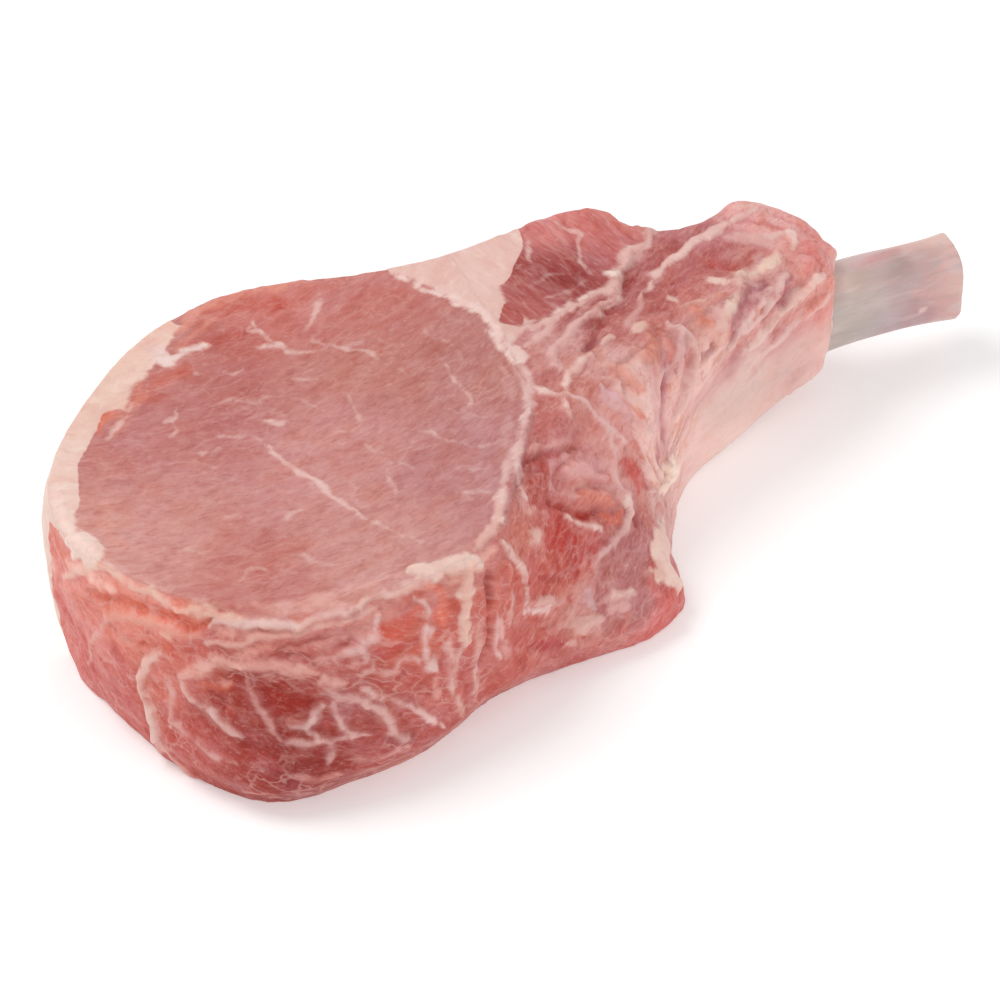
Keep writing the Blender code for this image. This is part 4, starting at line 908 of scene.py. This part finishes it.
def chine_face(s):
    """The sawn lower end: the joint knob, red muscle, mottled bone, cartilage and fat."""
    s.lay([(-2, 3, 38), (-3, -2, 38), (-6, -7, 38)], 1.9, "e0b4ad", 0.8)
    s.lay([(-14, -20, 38), (-15.5, -23.5, 38), (-17, -27, 36), (-14.3, -26.5, 33.5)], 2.1, "dba19b", 0.9)
    s.lay([(-6, 4, 38), (-6.6, 0.5, 38), (-8, -4, 38)], 1.4, "d8a8a3", 0.7)
    s.fat_along([(-2.4, 8.5, 38.3), (-1.2, 5.8, 38.3), (-1.6, 3.5, 38.3)], 1.2, "e8c8c1", rise=0.2)
    s.fat_along([(-2, 1.5, 38.5), (-3, -2, 38), (-5, -5, 38), (-7.5, -9.5, 38), (-9.5, -12.5, 38),
           (-12.5, -16, 38), (-14.5, -20.5, 38), (-15.5, -24, 38), (-15, -26, 35.5),
           (-15, -27, 34)], 0.7, "e2b9b4", rise=0.2)
    s.lay([(-10, -8, 38), (-13, -13, 38), (-14.5, -17, 38), (-17, -20.5, 38)], 1.5, "dbaeaa", 0.6, rise=0.1)
    s.fat_along([(-3, -3, 38), (-1, -5, 38), (1.5, -7, 38)], 0.5, "e9c5bd", rise=0.25)
    s.fat_along([(1.5, -7, 38), (0, -10, 38), (0, -11.5, 36.5)], 0.4, "e4b9b1", rise=0.25)
    s.lay([(2.5, -8, 38), (4.5, -9.5, 36), (6.5, -11, 33.5), (8, -12.5, 31),
           (9, -13, 29.5)], 0.7, "e8c2bf", 0.9, rise=0.6)
    s.lay([(9.5, -12.5, 30), (10.5, -13, 28.5), (8.5, -14.5, 28)], 1.3, "dfaca5", 0.85, rise=0.4)
    s.lay([(7, -15.5, 27.5), (6, -17.5, 26.5), (6, -19, 25), (7, -20.5, 23),
           (7.5, -21.5, 21.5)], 0.55, "e3b2ac", 0.85, rise=0.35)
    s.lay([(5.2, -20, 23.8), (5.8, -21.8, 22.8)], 1.2, "e4aea6", 0.85)
    s.fat_along([(6, -21, 22.5), (7, -22, 21.5), (6.5, -23.5, 20)], 0.85, "efd0c6", rise=0.4)
    s.lay([(6.5, -23.5, 20), (5.5, -24.5, 19.5), (3.5, -26, 19.5)], 0.5, "e0a69e", 0.85, rise=0.3)
    s.lay([(-11.5, -18.5, 38), (-8, -17.5, 36.5), (-4, -16.5, 34.5),
           (0.5, -15, 32.5)], 1.4, "b35650", 0.9, rise=-0.55)
    s.lay([(-11, -17, 38), (-7.5, -16.5, 37.5), (-4, -15, 35.5)], 0.45, "e0a8a0", 0.8, rise=0.3)
    s.lay([(-12, -21, 37.5), (-9.5, -20.5, 36)], 1.2, "a8565a", 0.8, rise=-0.2)
    s.lay([(-5, -19, 32), (-1, -18.5, 30), (2.5, -18.5, 27.5)], 2.6, "dfaaa6", 0.85, rise=1.3)
    s.lay([(-4, -22.5, 28), (0, -22, 26), (3, -22.5, 23.5)], 2.4, "da8673", 0.85, rise=1.0)
    s.lay([(-2.5, -17, 32.5), (-5.5, -17.5, 34), (-8, -19.5, 34.5), (-8.5, -21.5, 33.5), (-7.5, -22.5, 31),
           (-4.5, -22.5, 28.5)], 0.45, "dfa9a6", 0.85, rise=0.25)
    s.lay([(-6.5, -22.5, 30.5), (-2.5, -20.5, 29), (2, -21.5, 25.5),
           (5, -21.5, 23.5)], 0.4, "dda49c", 0.75, rise=0.2)
    s.lay([(0, -24.5, 23.5), (2.5, -24.5, 21.5), (5, -23.5, 21.5)], 1.4, "d87463", 0.85, rise=0.3)
    s.lay([(-10.5, -24.5, 32), (-7.5, -24.5, 29), (-4, -25, 25.5),
           (-1, -24.5, 24)], 0.8, "b9483f", 0.9, rise=-0.8)
    s.fat_along([(-8.5, -25, 29), (-8, -25.5, 28), (-6, -25.5, 26), (-4.5, -26.5, 24.5),
           (-1, -26, 22)], 0.4, "e9bfb6", rise=0.35)
    s.lay([(1.5, -15, 32), (2, -16.5, 30), (4, -17, 28.5), (6.5, -16, 27.5)], 0.6, "dfaaa5", 0.85, rise=0.3)
    s.lay([(9, -16, 25.5), (10.5, -17, 23), (10.5, -19, 21)], 2, "c95f58", 0.9, rise=0.2)
    s.lay([(11.5, -13, 28), (12.5, -14, 25), (13, -14.5, 23)], 1.3, "d37a6f", 0.8, rise=0.2)
    # painted light: this lump of fat lies on the side turned away from the key light, and it is painted paler than the
    # rest of the fat to offset that shade
    s.fat_along([(19, -11.5, 16.5), (22.5, -9.5, 13), (19.5, -12.5, 13.5),
           (17.5, -14, 14)], 2.3, "ffe2d2", rise=1.0)
    s.lay([(19.3, -10.4, 20.5), (19.4, -11.2, 18)], 1.4, "ecc0b6", 0.85)
    s.lay([(17, -12, 21.5), (20, -11, 16.5)], 0.8, "e29a8a", 0.85, rise=0.3)
    s.lay([(7.5, -23.5, 19), (7, -24.5, 18.5)], 0.8, "b1524b", 0.9, rise=-0.3)
    s.lay([(15, -17, 15), (17, -17, 10)], 1.2, "cf7f7a", 0.8, rise=0.1)
    s.lay([(-3.5, -35, 11.5), (0.5, -35, 10.5)], 1.8, "e0aea7", 0.85, rise=0.15)
    s.fat_along([(16, -19, 8.5), (11.5, -27, 12.5), (10.5, -29.5, 10.5), (12, -31, 8),
           (13, -31, 6)], 2.3, "efcdc1", rise=0.6)
    s.fat_along([(7.5, -31, 11.5), (9.5, -31.5, 10)], 1.6, "e8bfb1", rise=0.3)
    s.lay([(5, -32.5, 11), (7, -34, 8.5), (9.5, -34, 6)], 1.9, "cd635c", 0.9, rise=0.6)
    s.lay([(5, -34, 9.5), (6.5, -34, 9)], 0.7, "db8a80", 0.8, rise=0.2)
    s.lay([(0.5, -27.5, 19.5), (4.5, -28, 16.5), (7.5, -28.5, 14)], 2.2, "b8787a", 0.7, rise=-0.1)
    s.lay([(0, -32.5, 14.5), (4.5, -31.5, 13)], 1.6, "b97674", 0.7, rise=0)
    s.lay([(-4, -30.5, 19), (-4, -31, 18.5)], 0.8, "dba69f", 0.85, rise=0.3)
    s.lay([(2, -30.5, 15.5), (2, -31, 15)], 0.7, "d5a19c", 0.85, rise=0.3)
    s.lay([(-6.5, -30, 21), (-7, -31, 20)], 0.5, "d59a94", 0.8, rise=0.2)
    s.lay([(-14, -29.5, 28.5), (-10, -28, 26.5), (-8, -28.5, 24)], 3.2, "b83b34", 0.95, rise=0.1)
    s.lay([(-16.5, -33.5, 23.5), (-12.5, -33, 21), (-9, -31, 21)], 1.5, "b04843", 0.85, rise=-0.2)
    s.lay([(-4, -28, 22.5), (-2, -28.5, 20.5)], 1.4, "bf5a54", 0.8, rise=0)
    s.lay([(-9, -28.5, 25), (-11, -30, 24), (-12, -32, 22)], 0.4, "dd9a93", 0.8, rise=0.3)
    s.lay([(-17, -32, 28), (-15, -31.5, 26), (-14, -32.5, 22.5)], 0.9, "d07f75", 0.75, rise=0.2)
    s.lay([(-7, -33, 16.5), (-7, -34.5, 14.5), (-6.5, -35, 12.5)], 0.95, "d6b3b6", 0.7, rise=0.2)
    s.fat_along([(-20.5, -36.5, 22), (-17, -35.5, 19.5), (-13.5, -35, 17)], 0.9, "ddaca4", rise=0.4)
    s.fat_along([(-12.5, -36.5, 12), (-9.5, -36.5, 10.5), (-5.5, -36, 10.5)], 1.4, "dfaea5", rise=0.5)
    s.fat_along([(-5, -34.5, 13), (-2, -34, 12.5), (1.5, -33.5, 12)], 0.8, "ddaaa2", rise=0.4)
    s.fat_along([(-12.5, -37.5, 9.5), (-12, -37.5, 8)], 0.8, "dda8a1", rise=0.3)
    s.lay([(-10.5, -37.5, 8.5), (-9, -37.5, 8)], 0.5, "b54f49", 0.9, rise=-0.3)
    s.lay([(-22.5, -38.5, 13.5), (-18.5, -38, 11.5), (-14, -37.5, 9)], 1.6, "b2524d", 0.85, rise=-0.1)
    s.lay([(-20.5, -37.5, 17.5), (-16.5, -37, 14.5)], 1.1, "c36a63", 0.8, rise=-0.2)
    s.lay([(-1.5, -36.5, 9), (0.5, -36, 9.5)], 0.9, "c9615a", 0.85, rise=-0.2)
    s.lay([(-11, -34, 16.5), (-10.5, -35, 15)], 0.8, "c05750", 0.85, rise=-0.3)
    s.fat_along([(-24, -33.5, 35.5), (-22, -34, 32.5), (-21, -34, 29.5), (-20.5, -35, 26),
           (-20.5, -36.5, 22)], 0.5, "e0aea6", rise=0.3)
    s.lay([(-24, -35.5, 32.5), (-24, -37, 28.5), (-25, -38, 24)], 1.5, "cb6b5e", 0.85, rise=0.4)
    s.fat_along([(-16.5, -30, 32), (-14, -29, 30)], 0.7, "e3b5aa", rise=0.2)
    s.lay([(-4, -24.5, 25.5), (-3.5, -25.5, 24.5)], 0.7, "b8423b", 0.8, rise=-0.2)
    # a long strand down the right of the knob, with red muscle beside it, and the mottled bone at the foot
    s.lay([(8.5, -16, 26), (10.5, -17, 23), (13, -17.5, 19)], 2.2, "c9625b", 0.85)
    s.lay([(-9.5, -27.5, 26.5), (-9, -29.5, 23), (-9, -32, 19.5)], 1.9, "ae3f39", 0.8)
    s.lay([(-20.5, -38, 13), (-14, -37.5, 9.5)], 1.7, "b3464a", 0.7)
    s.lay([(-1, -36.5, 8.5), (-3, -37.5, 6.5)], 1.5, "c65c56", 0.8)
    s.lay([(-10.5, -36, 12), (-6, -37, 9)], 1.8, "deb0aa", 0.8)
    s.lay([(-28, -39.5, 24.5), (-26.5, -40, 18)], 1.5, "dfb0aa", 0.8)
    s.lay([(6, -11, 33.5), (7.5, -14.5, 28.5), (6, -19, 24.5), (7.5, -21, 21.5), (6, -24, 20), (1.5, -27, 19.5),
           (-3.5, -30, 19)], 0.75, "e6bdb8", 0.9, rise=0.5)
    s.lay([(9.5, -13, 29), (10.5, -13.5, 27.5)], 1.4, "e6c0ba", 0.9, rise=0.4)
    s.lay([(17.5, -12.5, 19), (18, -13.5, 16), (18.5, -13.5, 13)], 1.6, "f3d3c8", 0.9, rise=0.4)
    s.lay([(-14.8, -26, 34.5), (-14, -27, 32.5)], 1.4, "daa39c", 0.85)
    s.lay([(5, -31.5, 12.5), (6.5, -32, 11)], 1.4, "d49690", 0.8)
    s.lay([(-17.5, -31, 31), (-14, -29, 29.5)], 0.9, "e9c0b4", 0.85, rise=0.2)


# ---------------------------------------------------------------- materials

def add(tree, kind, inputs=(), output=0, **properties):
    """Adds a node, sets its properties and inputs (a socket is linked, a value is set), and gives one output."""
    new = tree.nodes.new(kind)
    for name, value in properties.items():
        setattr(new, name, value)
    for slot, value in dict(inputs).items():
        if isinstance(value, bpy.types.NodeSocket):
            tree.links.new(value, new.inputs[slot])
        else:
            new.inputs[slot].default_value = value
    return new.outputs[output]


def rgba(hex_colour):
    return tuple(linear(hex_colour)) + (1.0,)


def new_material(name):
    m = bpy.data.materials.new(name)
    m.use_nodes = True
    m.node_tree.nodes.clear()
    return m, m.node_tree


def flesh_material():
    """Raw pork, cut and trimmed: wet muscle fibre, a soft satin gloss, light sinks in a millimetre or two."""
    m, t = new_material("raw_pork_cut")
    kept = {}
    for name in ("lean_tone", "fat_tone", "thread_tone"):
        kept[name] = add(t, "ShaderNodeAttribute", output="Color", attribute_name=name)
    for name in ("fat", "thread", "thread_strength", "calm", "torn"):
        kept[name] = add(t, "ShaderNodeAttribute", output="Fac", attribute_name=name)
    flow = add(t, "ShaderNodeAttribute", output="Vector", attribute_name="fibre")

    # soft clouds, fibre bundles of 4.6 by 1.7 mm, single fibres as coarse as they need to show, flecks of fat
    # and the cells between the strands of the membrane; the sizes are in mm along and across the grain
    patterns = {}
    for name, size, detail, rough, bend in (
            ("cloud", (8.0, 5.0, 5.0), 2.0, 0.5, 0.3), ("bundle", (4.6, 1.7, 2.0), 4.0, 0.6, 0.9),
            ("fibre", (1.4, 0.62, 0.7), 4.0, 0.65, 0.5), ("fleck", (4.4, 1.5, 2.0), 4.0, 0.72, 1.4),
            ("mottle", (3.4, 2.6, 2.6), 5.0, 0.62, 0.6),
            ("where", (9.0, 6.0, 6.0), 1.0, 0.5, 0.0)):
        place = add(t, "ShaderNodeMapping", {"Vector": flow, "Scale": tuple(1 / v for v in size)})
        patterns[name] = add(t, "ShaderNodeTexNoise", {"Vector": place, "Scale": 1.0, "Detail": detail,
                                                       "Roughness": rough, "Distortion": bend})
    lively = add(t, "ShaderNodeMath", {0: 1.0, 1: kept["calm"]}, operation="SUBTRACT")

    # lean: each layer grows with its pattern from one level to another, up to a share, and turns the tone
    tone = kept["lean_tone"]
    for name, low, high, share, blend, change in (
            ("cloud", 0.50, 0.66, 0.42, "MULTIPLY", "f6c9a6"), ("cloud", 0.50, 0.34, 0.17, "MIX", "c98f9c"),
            ("bundle", 0.52, 0.32, 0.50, "MULTIPLY", "d8a59c"), ("bundle", 0.50, 0.70, 0.17, "MIX", "f2cdc6"),
            ("mottle", 0.48, 0.32, 0.50, "MULTIPLY", "dcaaa2"), ("mottle", 0.52, 0.68, 0.19, "MIX", "f2cdc6"),
            ("fibre", 0.50, 0.30, 0.50, "MULTIPLY", "d8a59c"), ("fibre", 0.52, 0.72, 0.24, "MIX", "f2cdc6"),
            ("fleck", 0.62, 0.72, 0.50, "MIX", "e8c2ba")):
        grown = add(t, "ShaderNodeMapRange", {"Value": patterns[name], "From Min": low, "From Max": high,
                                              "To Max": share}, interpolation_type="SMOOTHSTEP")
        amount = add(t, "ShaderNodeMath", {0: grown, 1: lively}, operation="MULTIPLY")
        tone = add(t, "ShaderNodeMix", {0: amount, 6: tone, 7: rgba(change)}, output=2, data_type="RGBA",
                   blend_type=blend)

    # membrane: pale strands where warped cells of 6.5 by 3.4 mm meet, in some places only
    place = add(t, "ShaderNodeMapping", {"Vector": flow, "Scale": (1 / 6.5, 1 / 3.4, 1 / 3.4)})
    warp = add(t, "ShaderNodeTexNoise", {"Vector": place, "Scale": 1.1, "Detail": 2.0, "Roughness": 0.5}, output="Color")
    place = add(t, "ShaderNodeVectorMath", {0: warp, 1: (1.4, 1.4, 1.4), 2: place}, operation="MULTIPLY_ADD")
    gap = add(t, "ShaderNodeTexVoronoi", {"Vector": place, "Scale": 1.0}, output="Distance", feature="DISTANCE_TO_EDGE")
    strand = add(t, "ShaderNodeMapRange", {"Value": gap, "From Min": 0.10, "From Max": 0.0, "To Max": 0.8},
                 interpolation_type="SMOOTHSTEP")
    there = add(t, "ShaderNodeMapRange", {"Value": patterns["where"], "From Min": 0.42, "From Max": 0.58},
                interpolation_type="SMOOTHSTEP")
    strand = add(t, "ShaderNodeMath", {0: strand, 1: there}, operation="MULTIPLY")
    strand = add(t, "ShaderNodeMath", {0: strand, 1: kept["torn"]}, operation="MULTIPLY")
    tone = add(t, "ShaderNodeMix", {0: strand, 6: tone, 7: rgba("e2b0a7")}, output=2, data_type="RGBA")

    # fat: smooth and cream, clouded and veined with pink
    cream = kept["fat_tone"]
    for name, low, high, share, change in (
            ("cloud", 0.45, 0.70, 0.30, "dea195"), ("mottle", 0.52, 0.72, 0.42, "f6e2d6"),
            ("mottle", 0.48, 0.30, 0.38, "dba79b"), ("fibre", 0.50, 0.30, 0.22, "d2a094")):
        amount = add(t, "ShaderNodeMapRange", {"Value": patterns[name], "From Min": low, "From Max": high,
                                               "To Max": share}, interpolation_type="SMOOTHSTEP")
        cream = add(t, "ShaderNodeMix", {0: amount, 6: cream, 7: rgba(change)}, output=2, data_type="RGBA")

    # where fat and threads end, the fibres fray the border
    fray = add(t, "ShaderNodeMath", {0: patterns["mottle"], 1: 0.5}, operation="SUBTRACT")
    fat_edge = add(t, "ShaderNodeMath", {0: fray, 1: 2.2, 2: kept["fat"]}, operation="MULTIPLY_ADD")
    in_fat = add(t, "ShaderNodeMapRange", {"Value": fat_edge, "From Min": -0.70, "From Max": 0.50},
                 interpolation_type="SMOOTHSTEP")
    tone = add(t, "ShaderNodeMix", {0: in_fat, 6: tone, 7: cream}, output=2, data_type="RGBA")
    thread_edge = add(t, "ShaderNodeMath", {0: fray, 1: 0.42, 2: kept["thread"]}, operation="MULTIPLY_ADD")
    in_thread = add(t, "ShaderNodeMapRange", {"Value": thread_edge, "From Min": 0.31, "From Max": 0.64},
                    interpolation_type="SMOOTHSTEP")
    in_thread = add(t, "ShaderNodeMath", {0: in_thread, 1: kept["thread_strength"]}, operation="MULTIPLY")
    tone = add(t, "ShaderNodeMix", {0: in_thread, 6: tone, 7: kept["thread_tone"]}, output=2, data_type="RGBA")

    height = add(t, "ShaderNodeMath", {0: patterns["bundle"], 1: 1.5, 2: patterns["fibre"]}, operation="MULTIPLY_ADD")
    height = add(t, "ShaderNodeMath", {0: strand, 1: 0.8, 2: height}, operation="MULTIPLY_ADD")
    bump = add(t, "ShaderNodeBump", {"Height": height, "Strength": 0.40, "Distance": 0.0002})
    gloss = add(t, "ShaderNodeMapRange", {"Value": patterns["cloud"], "From Min": 0.3, "From Max": 0.7,
                                          "To Min": 0.40, "To Max": 0.54})
    skin = add(t, "ShaderNodeBsdfPrincipled",
               {"Base Color": tone, "Roughness": gloss, "Normal": bump, "IOR": 1.4, "Specular IOR Level": 0.38,
                "Subsurface Weight": 0.14, "Subsurface Radius": (1.0, 0.38, 0.26), "Subsurface Scale": 0.0016,
                "Coat Weight": 0.06, "Coat Roughness": 0.22})
    t.links.new(skin, t.nodes.new("ShaderNodeOutputMaterial").inputs["Surface"])
    return m


def bone_material():
    """Fresh rib, scraped bare: dense grey-beige bone under a thin damp film, streaked along its length."""
    m, t = new_material("scraped_rib")
    place = add(t, "ShaderNodeTexCoord", output="Object")
    tone = add(t, "ShaderNodeAttribute", output="Color", attribute_name="bone_tone")
    patterns = {}
    for name, size, detail in (("streak", (7.0, 1.3, 1.3), 4.0), ("cloud", (7.0, 3.6, 3.6), 3.0)):
        scaled = add(t, "ShaderNodeMapping", {"Vector": place, "Scale": tuple(1 / (v * MM) for v in size)})
        patterns[name] = add(t, "ShaderNodeTexNoise", {"Vector": scaled, "Scale": 1.0, "Detail": detail,
                                                       "Roughness": 0.58, "Distortion": 0.4})
    for name, low, high, share, change in (
            ("streak", 0.52, 0.72, 0.26, "e2d0cb"), ("streak", 0.48, 0.30, 0.24, "a88c8c"),
            ("cloud", 0.55, 0.70, 0.40, "d9a8a2"), ("cloud", 0.46, 0.32, 0.35, "b7aeb0")):
        amount = add(t, "ShaderNodeMapRange", {"Value": patterns[name], "From Min": low, "From Max": high,
                                               "To Max": share}, interpolation_type="SMOOTHSTEP")
        tone = add(t, "ShaderNodeMix", {0: amount, 6: tone, 7: rgba(change)}, output=2, data_type="RGBA")
    bump = add(t, "ShaderNodeBump", {"Height": patterns["streak"], "Strength": 0.25, "Distance": 0.0004})
    gloss = add(t, "ShaderNodeMapRange", {"Value": patterns["cloud"], "From Min": 0.3, "From Max": 0.7,
                                          "To Min": 0.36, "To Max": 0.50})
    bone = add(t, "ShaderNodeBsdfPrincipled",
               {"Base Color": tone, "Roughness": gloss, "Normal": bump, "IOR": 1.45, "Specular IOR Level": 0.4,
                "Subsurface Weight": 0.12, "Subsurface Radius": (1.0, 0.7, 0.5), "Subsurface Scale": 0.001})
    t.links.new(bone, t.nodes.new("ShaderNodeOutputMaterial").inputs["Surface"])
    return m


# ---------------------------------------------------------------- making the pieces

flesh = flesh_form()
surface = Surface(flesh)
shape_flesh(surface)
for mark in (eye_marks, rim_and_side, seams, rib_ridges, chine_face):
    mark(surface)
surface.draw_in("rib_bone", beyond=CHANNEL_FROM + 1, reach=3.0, share=0.85)
surface.fat = np.clip(surface.fat, -3, 3)
surface.lean = np.minimum(surface.lean * (1 + SIDE_LIFT * surface.side[:, None]), 0.95)
surface.points = surface.base + surface.base_normals * surface.rise[:, None] + surface.drawn
surface.points[:, 2] = np.maximum(surface.points[:, 2], CAD_BOX[0][2] / MM)
write_points(flesh, surface.points)
store(flesh, "lean_tone", surface.lean, "FLOAT_COLOR")
store(flesh, "fat_tone", surface.fat_tone, "FLOAT_COLOR")
store(flesh, "fat", surface.fat)
store(flesh, "thread", surface.thread)
store(flesh, "thread_strength", surface.thread_strength)
store(flesh, "thread_tone", surface.thread_tone, "FLOAT_COLOR")
store(flesh, "calm", surface.calm)
store(flesh, "torn", surface.torn)
store(flesh, "fibre", surface.flow, "FLOAT_VECTOR")
flesh.data.materials.append(flesh_material())
edit_all(flesh, bpy.ops.mesh.faces_shade_smooth)
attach(flesh, "root")
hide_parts("loin_eye", "cap_muscle", "rib_meat", "seam_fat")


def bone_form():
    """The bare end of the rib, from inside its channel to the sawn end."""
    rib = copied("rib_bone", "rib")
    rib.data.name = "rib"
    rib.data.materials.clear()
    cut_off(rib, CHANNEL_FROM + 0.4, keep_outer=True)
    finish(rib, "REMESH", mode="VOXEL", voxel_size=BONE_VOXEL * MM, adaptivity=0.0)
    finish(rib, "SMOOTH", factor=0.5, iterations=8)
    p, n = read_points(rib), read_normals(rib)
    rise = 0.25 * cloud(p, (12, 3.5, 3.5), 71) + 0.14 * cloud(p, (7, 1.6, 1.6), 72)
    # the two sides are grey, the upper edge and the sawn end are pink, with a taupe band lengthwise between; these are
    # partly the bone's own tones and partly painted light: the upper edge is painted paler as a painted highlight, and
    # the band under it and the lower side are painted darker as painted shade
    tone = blended(p + 1.3 * shift_cloud(p, 5.0, 81), [
        ((68, 10, 26), "e2cac0"), ((76, 12, 26), "d9b0ad"), ((83, 13, 26), "dfb9b2"), ((90, 12, 26), "e6c4ba"),
        ((72, 8.4, 26.4), "c3aca3"), ((80, 8, 26.3), "b29a96"), ((86, 6.7, 25.7), "c6a5a1"), ((90, 5.4, 25.3), "dfb1aa"),
        ((67, 5, 22), "c2b5ac"), ((73, 5, 22), "cbb9b4"), ((79, 4.6, 20.7), "c2a9a9"), ((85, 4, 20), "cba5a3"),
        ((91, 3, 21), "dfbab2"), ((70, 5, 15), "bcb0a9"), ((77, 4.7, 14.8), "b9a2a5"), ((84, 4.1, 16), "bd9698"),
        ((89, 4, 15), "d3a8a4"), ((80, 5, 9), "b59695"), ((92, 8, 12), "dcb4ad"), ((93, 10, 18), "dfb5b0")], 3.6)
    for run, half, colour in (
            ([(72, 11, 26.5), (77, 11.5, 26.5), (81, 12, 26.5)], 1.9, "cf9c9d"),
            ([(83.2, 4.1, 16.2), (84.2, 4.1, 16.4)], 0.9, "efd4ca"),
            ([(82, 4.3, 21), (85, 4, 20), (88, 3.8, 20)], 1.6, "dcb0ab")):
        w = (0.7 * step(half, 0.2 * half, to_run(p + 0.5 * shift_cloud(p, 2.0, 84), run)))[:, None]
        tone = tone * (1 - w) + paint(colour) * w
    pale = (0.35 * step(0.1, 0.6, cloud(p, (7, 3, 3), 87)))[:, None]
    tone = tone * (1 - pale) + paint("d9cbca") * pale
    # the sawn end: a pale hard rim round red spongy marrow
    end = p[:, 0] > p[:, 0].max() - 1.5
    middle = (p[end].max(0) + p[end].min(0)) / 2
    half = (p[end].max(0) - p[end].min(0)) / 2
    ring = np.hypot((p[:, 1] - middle[1]) / half[1], (p[:, 2] - middle[2]) / half[2])
    core = step(0.80, 0.66, ring + 0.10 * cloud(p, 2.5, 85)) * step(0.75, 0.92, n[:, 0])
    sponge = np.where(cloud(p, 1.1, 86) > 0.1, 1.0, 0.0)[:, None]
    marrow = paint("c07f78") * sponge + paint("a4534f") * (1 - sponge)
    tone = tone * (1 - core[:, None]) + marrow * core[:, None]
    write_points(rib, p + n * (rise - 0.35 * core)[:, None])
    store(rib, "bone_tone", tone, "FLOAT_COLOR")
    rib.data.materials.append(bone_material())
    edit_all(rib, bpy.ops.mesh.faces_shade_smooth)
    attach(rib, "root")
    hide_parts("rib_bone")
    return rib


rib = bone_form()


# ---------------------------------------------------------------- floor, light and camera

def card_material():
    """Matt pale card under the meat."""
    m, t = new_material("pale_card")
    card = add(t, "ShaderNodeBsdfPrincipled",
               {"Base Color": rgba("f4f4f4"), "Roughness": 0.9, "Specular IOR Level": 0.1,
                "Emission Color": rgba("ffffff"), "Emission Strength": 0.22})
    t.links.new(card, t.nodes.new("ShaderNodeOutputMaterial").inputs["Surface"])
    return m


bpy.ops.object.select_all(action="DESELECT")
bpy.ops.mesh.primitive_plane_add(size=6.0, location=(0, 0, CAD_BOX[0][2]))
floor = bpy.context.view_layer.objects.active
floor.name = "floor"
floor.data.materials.append(card_material())


def area_light(name, place, target, size, power, tone="ffffff"):
    light = bpy.data.lights.new(name, "AREA")
    light.shape = "DISK"
    light.size = size
    light.energy = power
    light.color = linear(tone)
    lamp = bpy.data.objects.new(name, light)
    lamp.location = place
    lamp.rotation_euler = (Vector(target) - Vector(place)).to_track_quat("-Z", "Y").to_euler()
    bpy.context.scene.collection.objects.link(lamp)


area_light("key", (-0.42, 0.38, 1.0), (0, 0, 0.02), 0.6, 5.0)
area_light("fill", (0.3, -1.0, 0.6), (0, 0, 0.02), 0.9, 2.6)

world = bpy.data.worlds.new("studio")
bpy.context.scene.world = world
world.use_nodes = True
world.node_tree.nodes["Background"].inputs["Color"].default_value = (1, 1, 1, 1)
world.node_tree.nodes["Background"].inputs["Strength"].default_value = 0.62

AIM = Vector((-0.011905, -0.007992, 0.018))
AZIMUTH, ELEVATION, DISTANCE = math.radians(-26), math.radians(45), 0.8
lens = bpy.data.cameras.new("camera")
lens.lens = 158.4
lens.sensor_width = 36
camera = bpy.data.objects.new("camera", lens)
camera.location = AIM + DISTANCE * Vector((math.sin(AZIMUTH) * math.cos(ELEVATION),
                                           -math.cos(AZIMUTH) * math.cos(ELEVATION), math.sin(ELEVATION)))
camera.rotation_euler = (AIM - camera.location).to_track_quat("-Z", "Y").to_euler()
bpy.context.scene.collection.objects.link(camera)
bpy.context.scene.camera = camera
bpy.context.scene.view_settings.view_transform = "Standard"
bpy.context.scene.view_settings.look = "None"
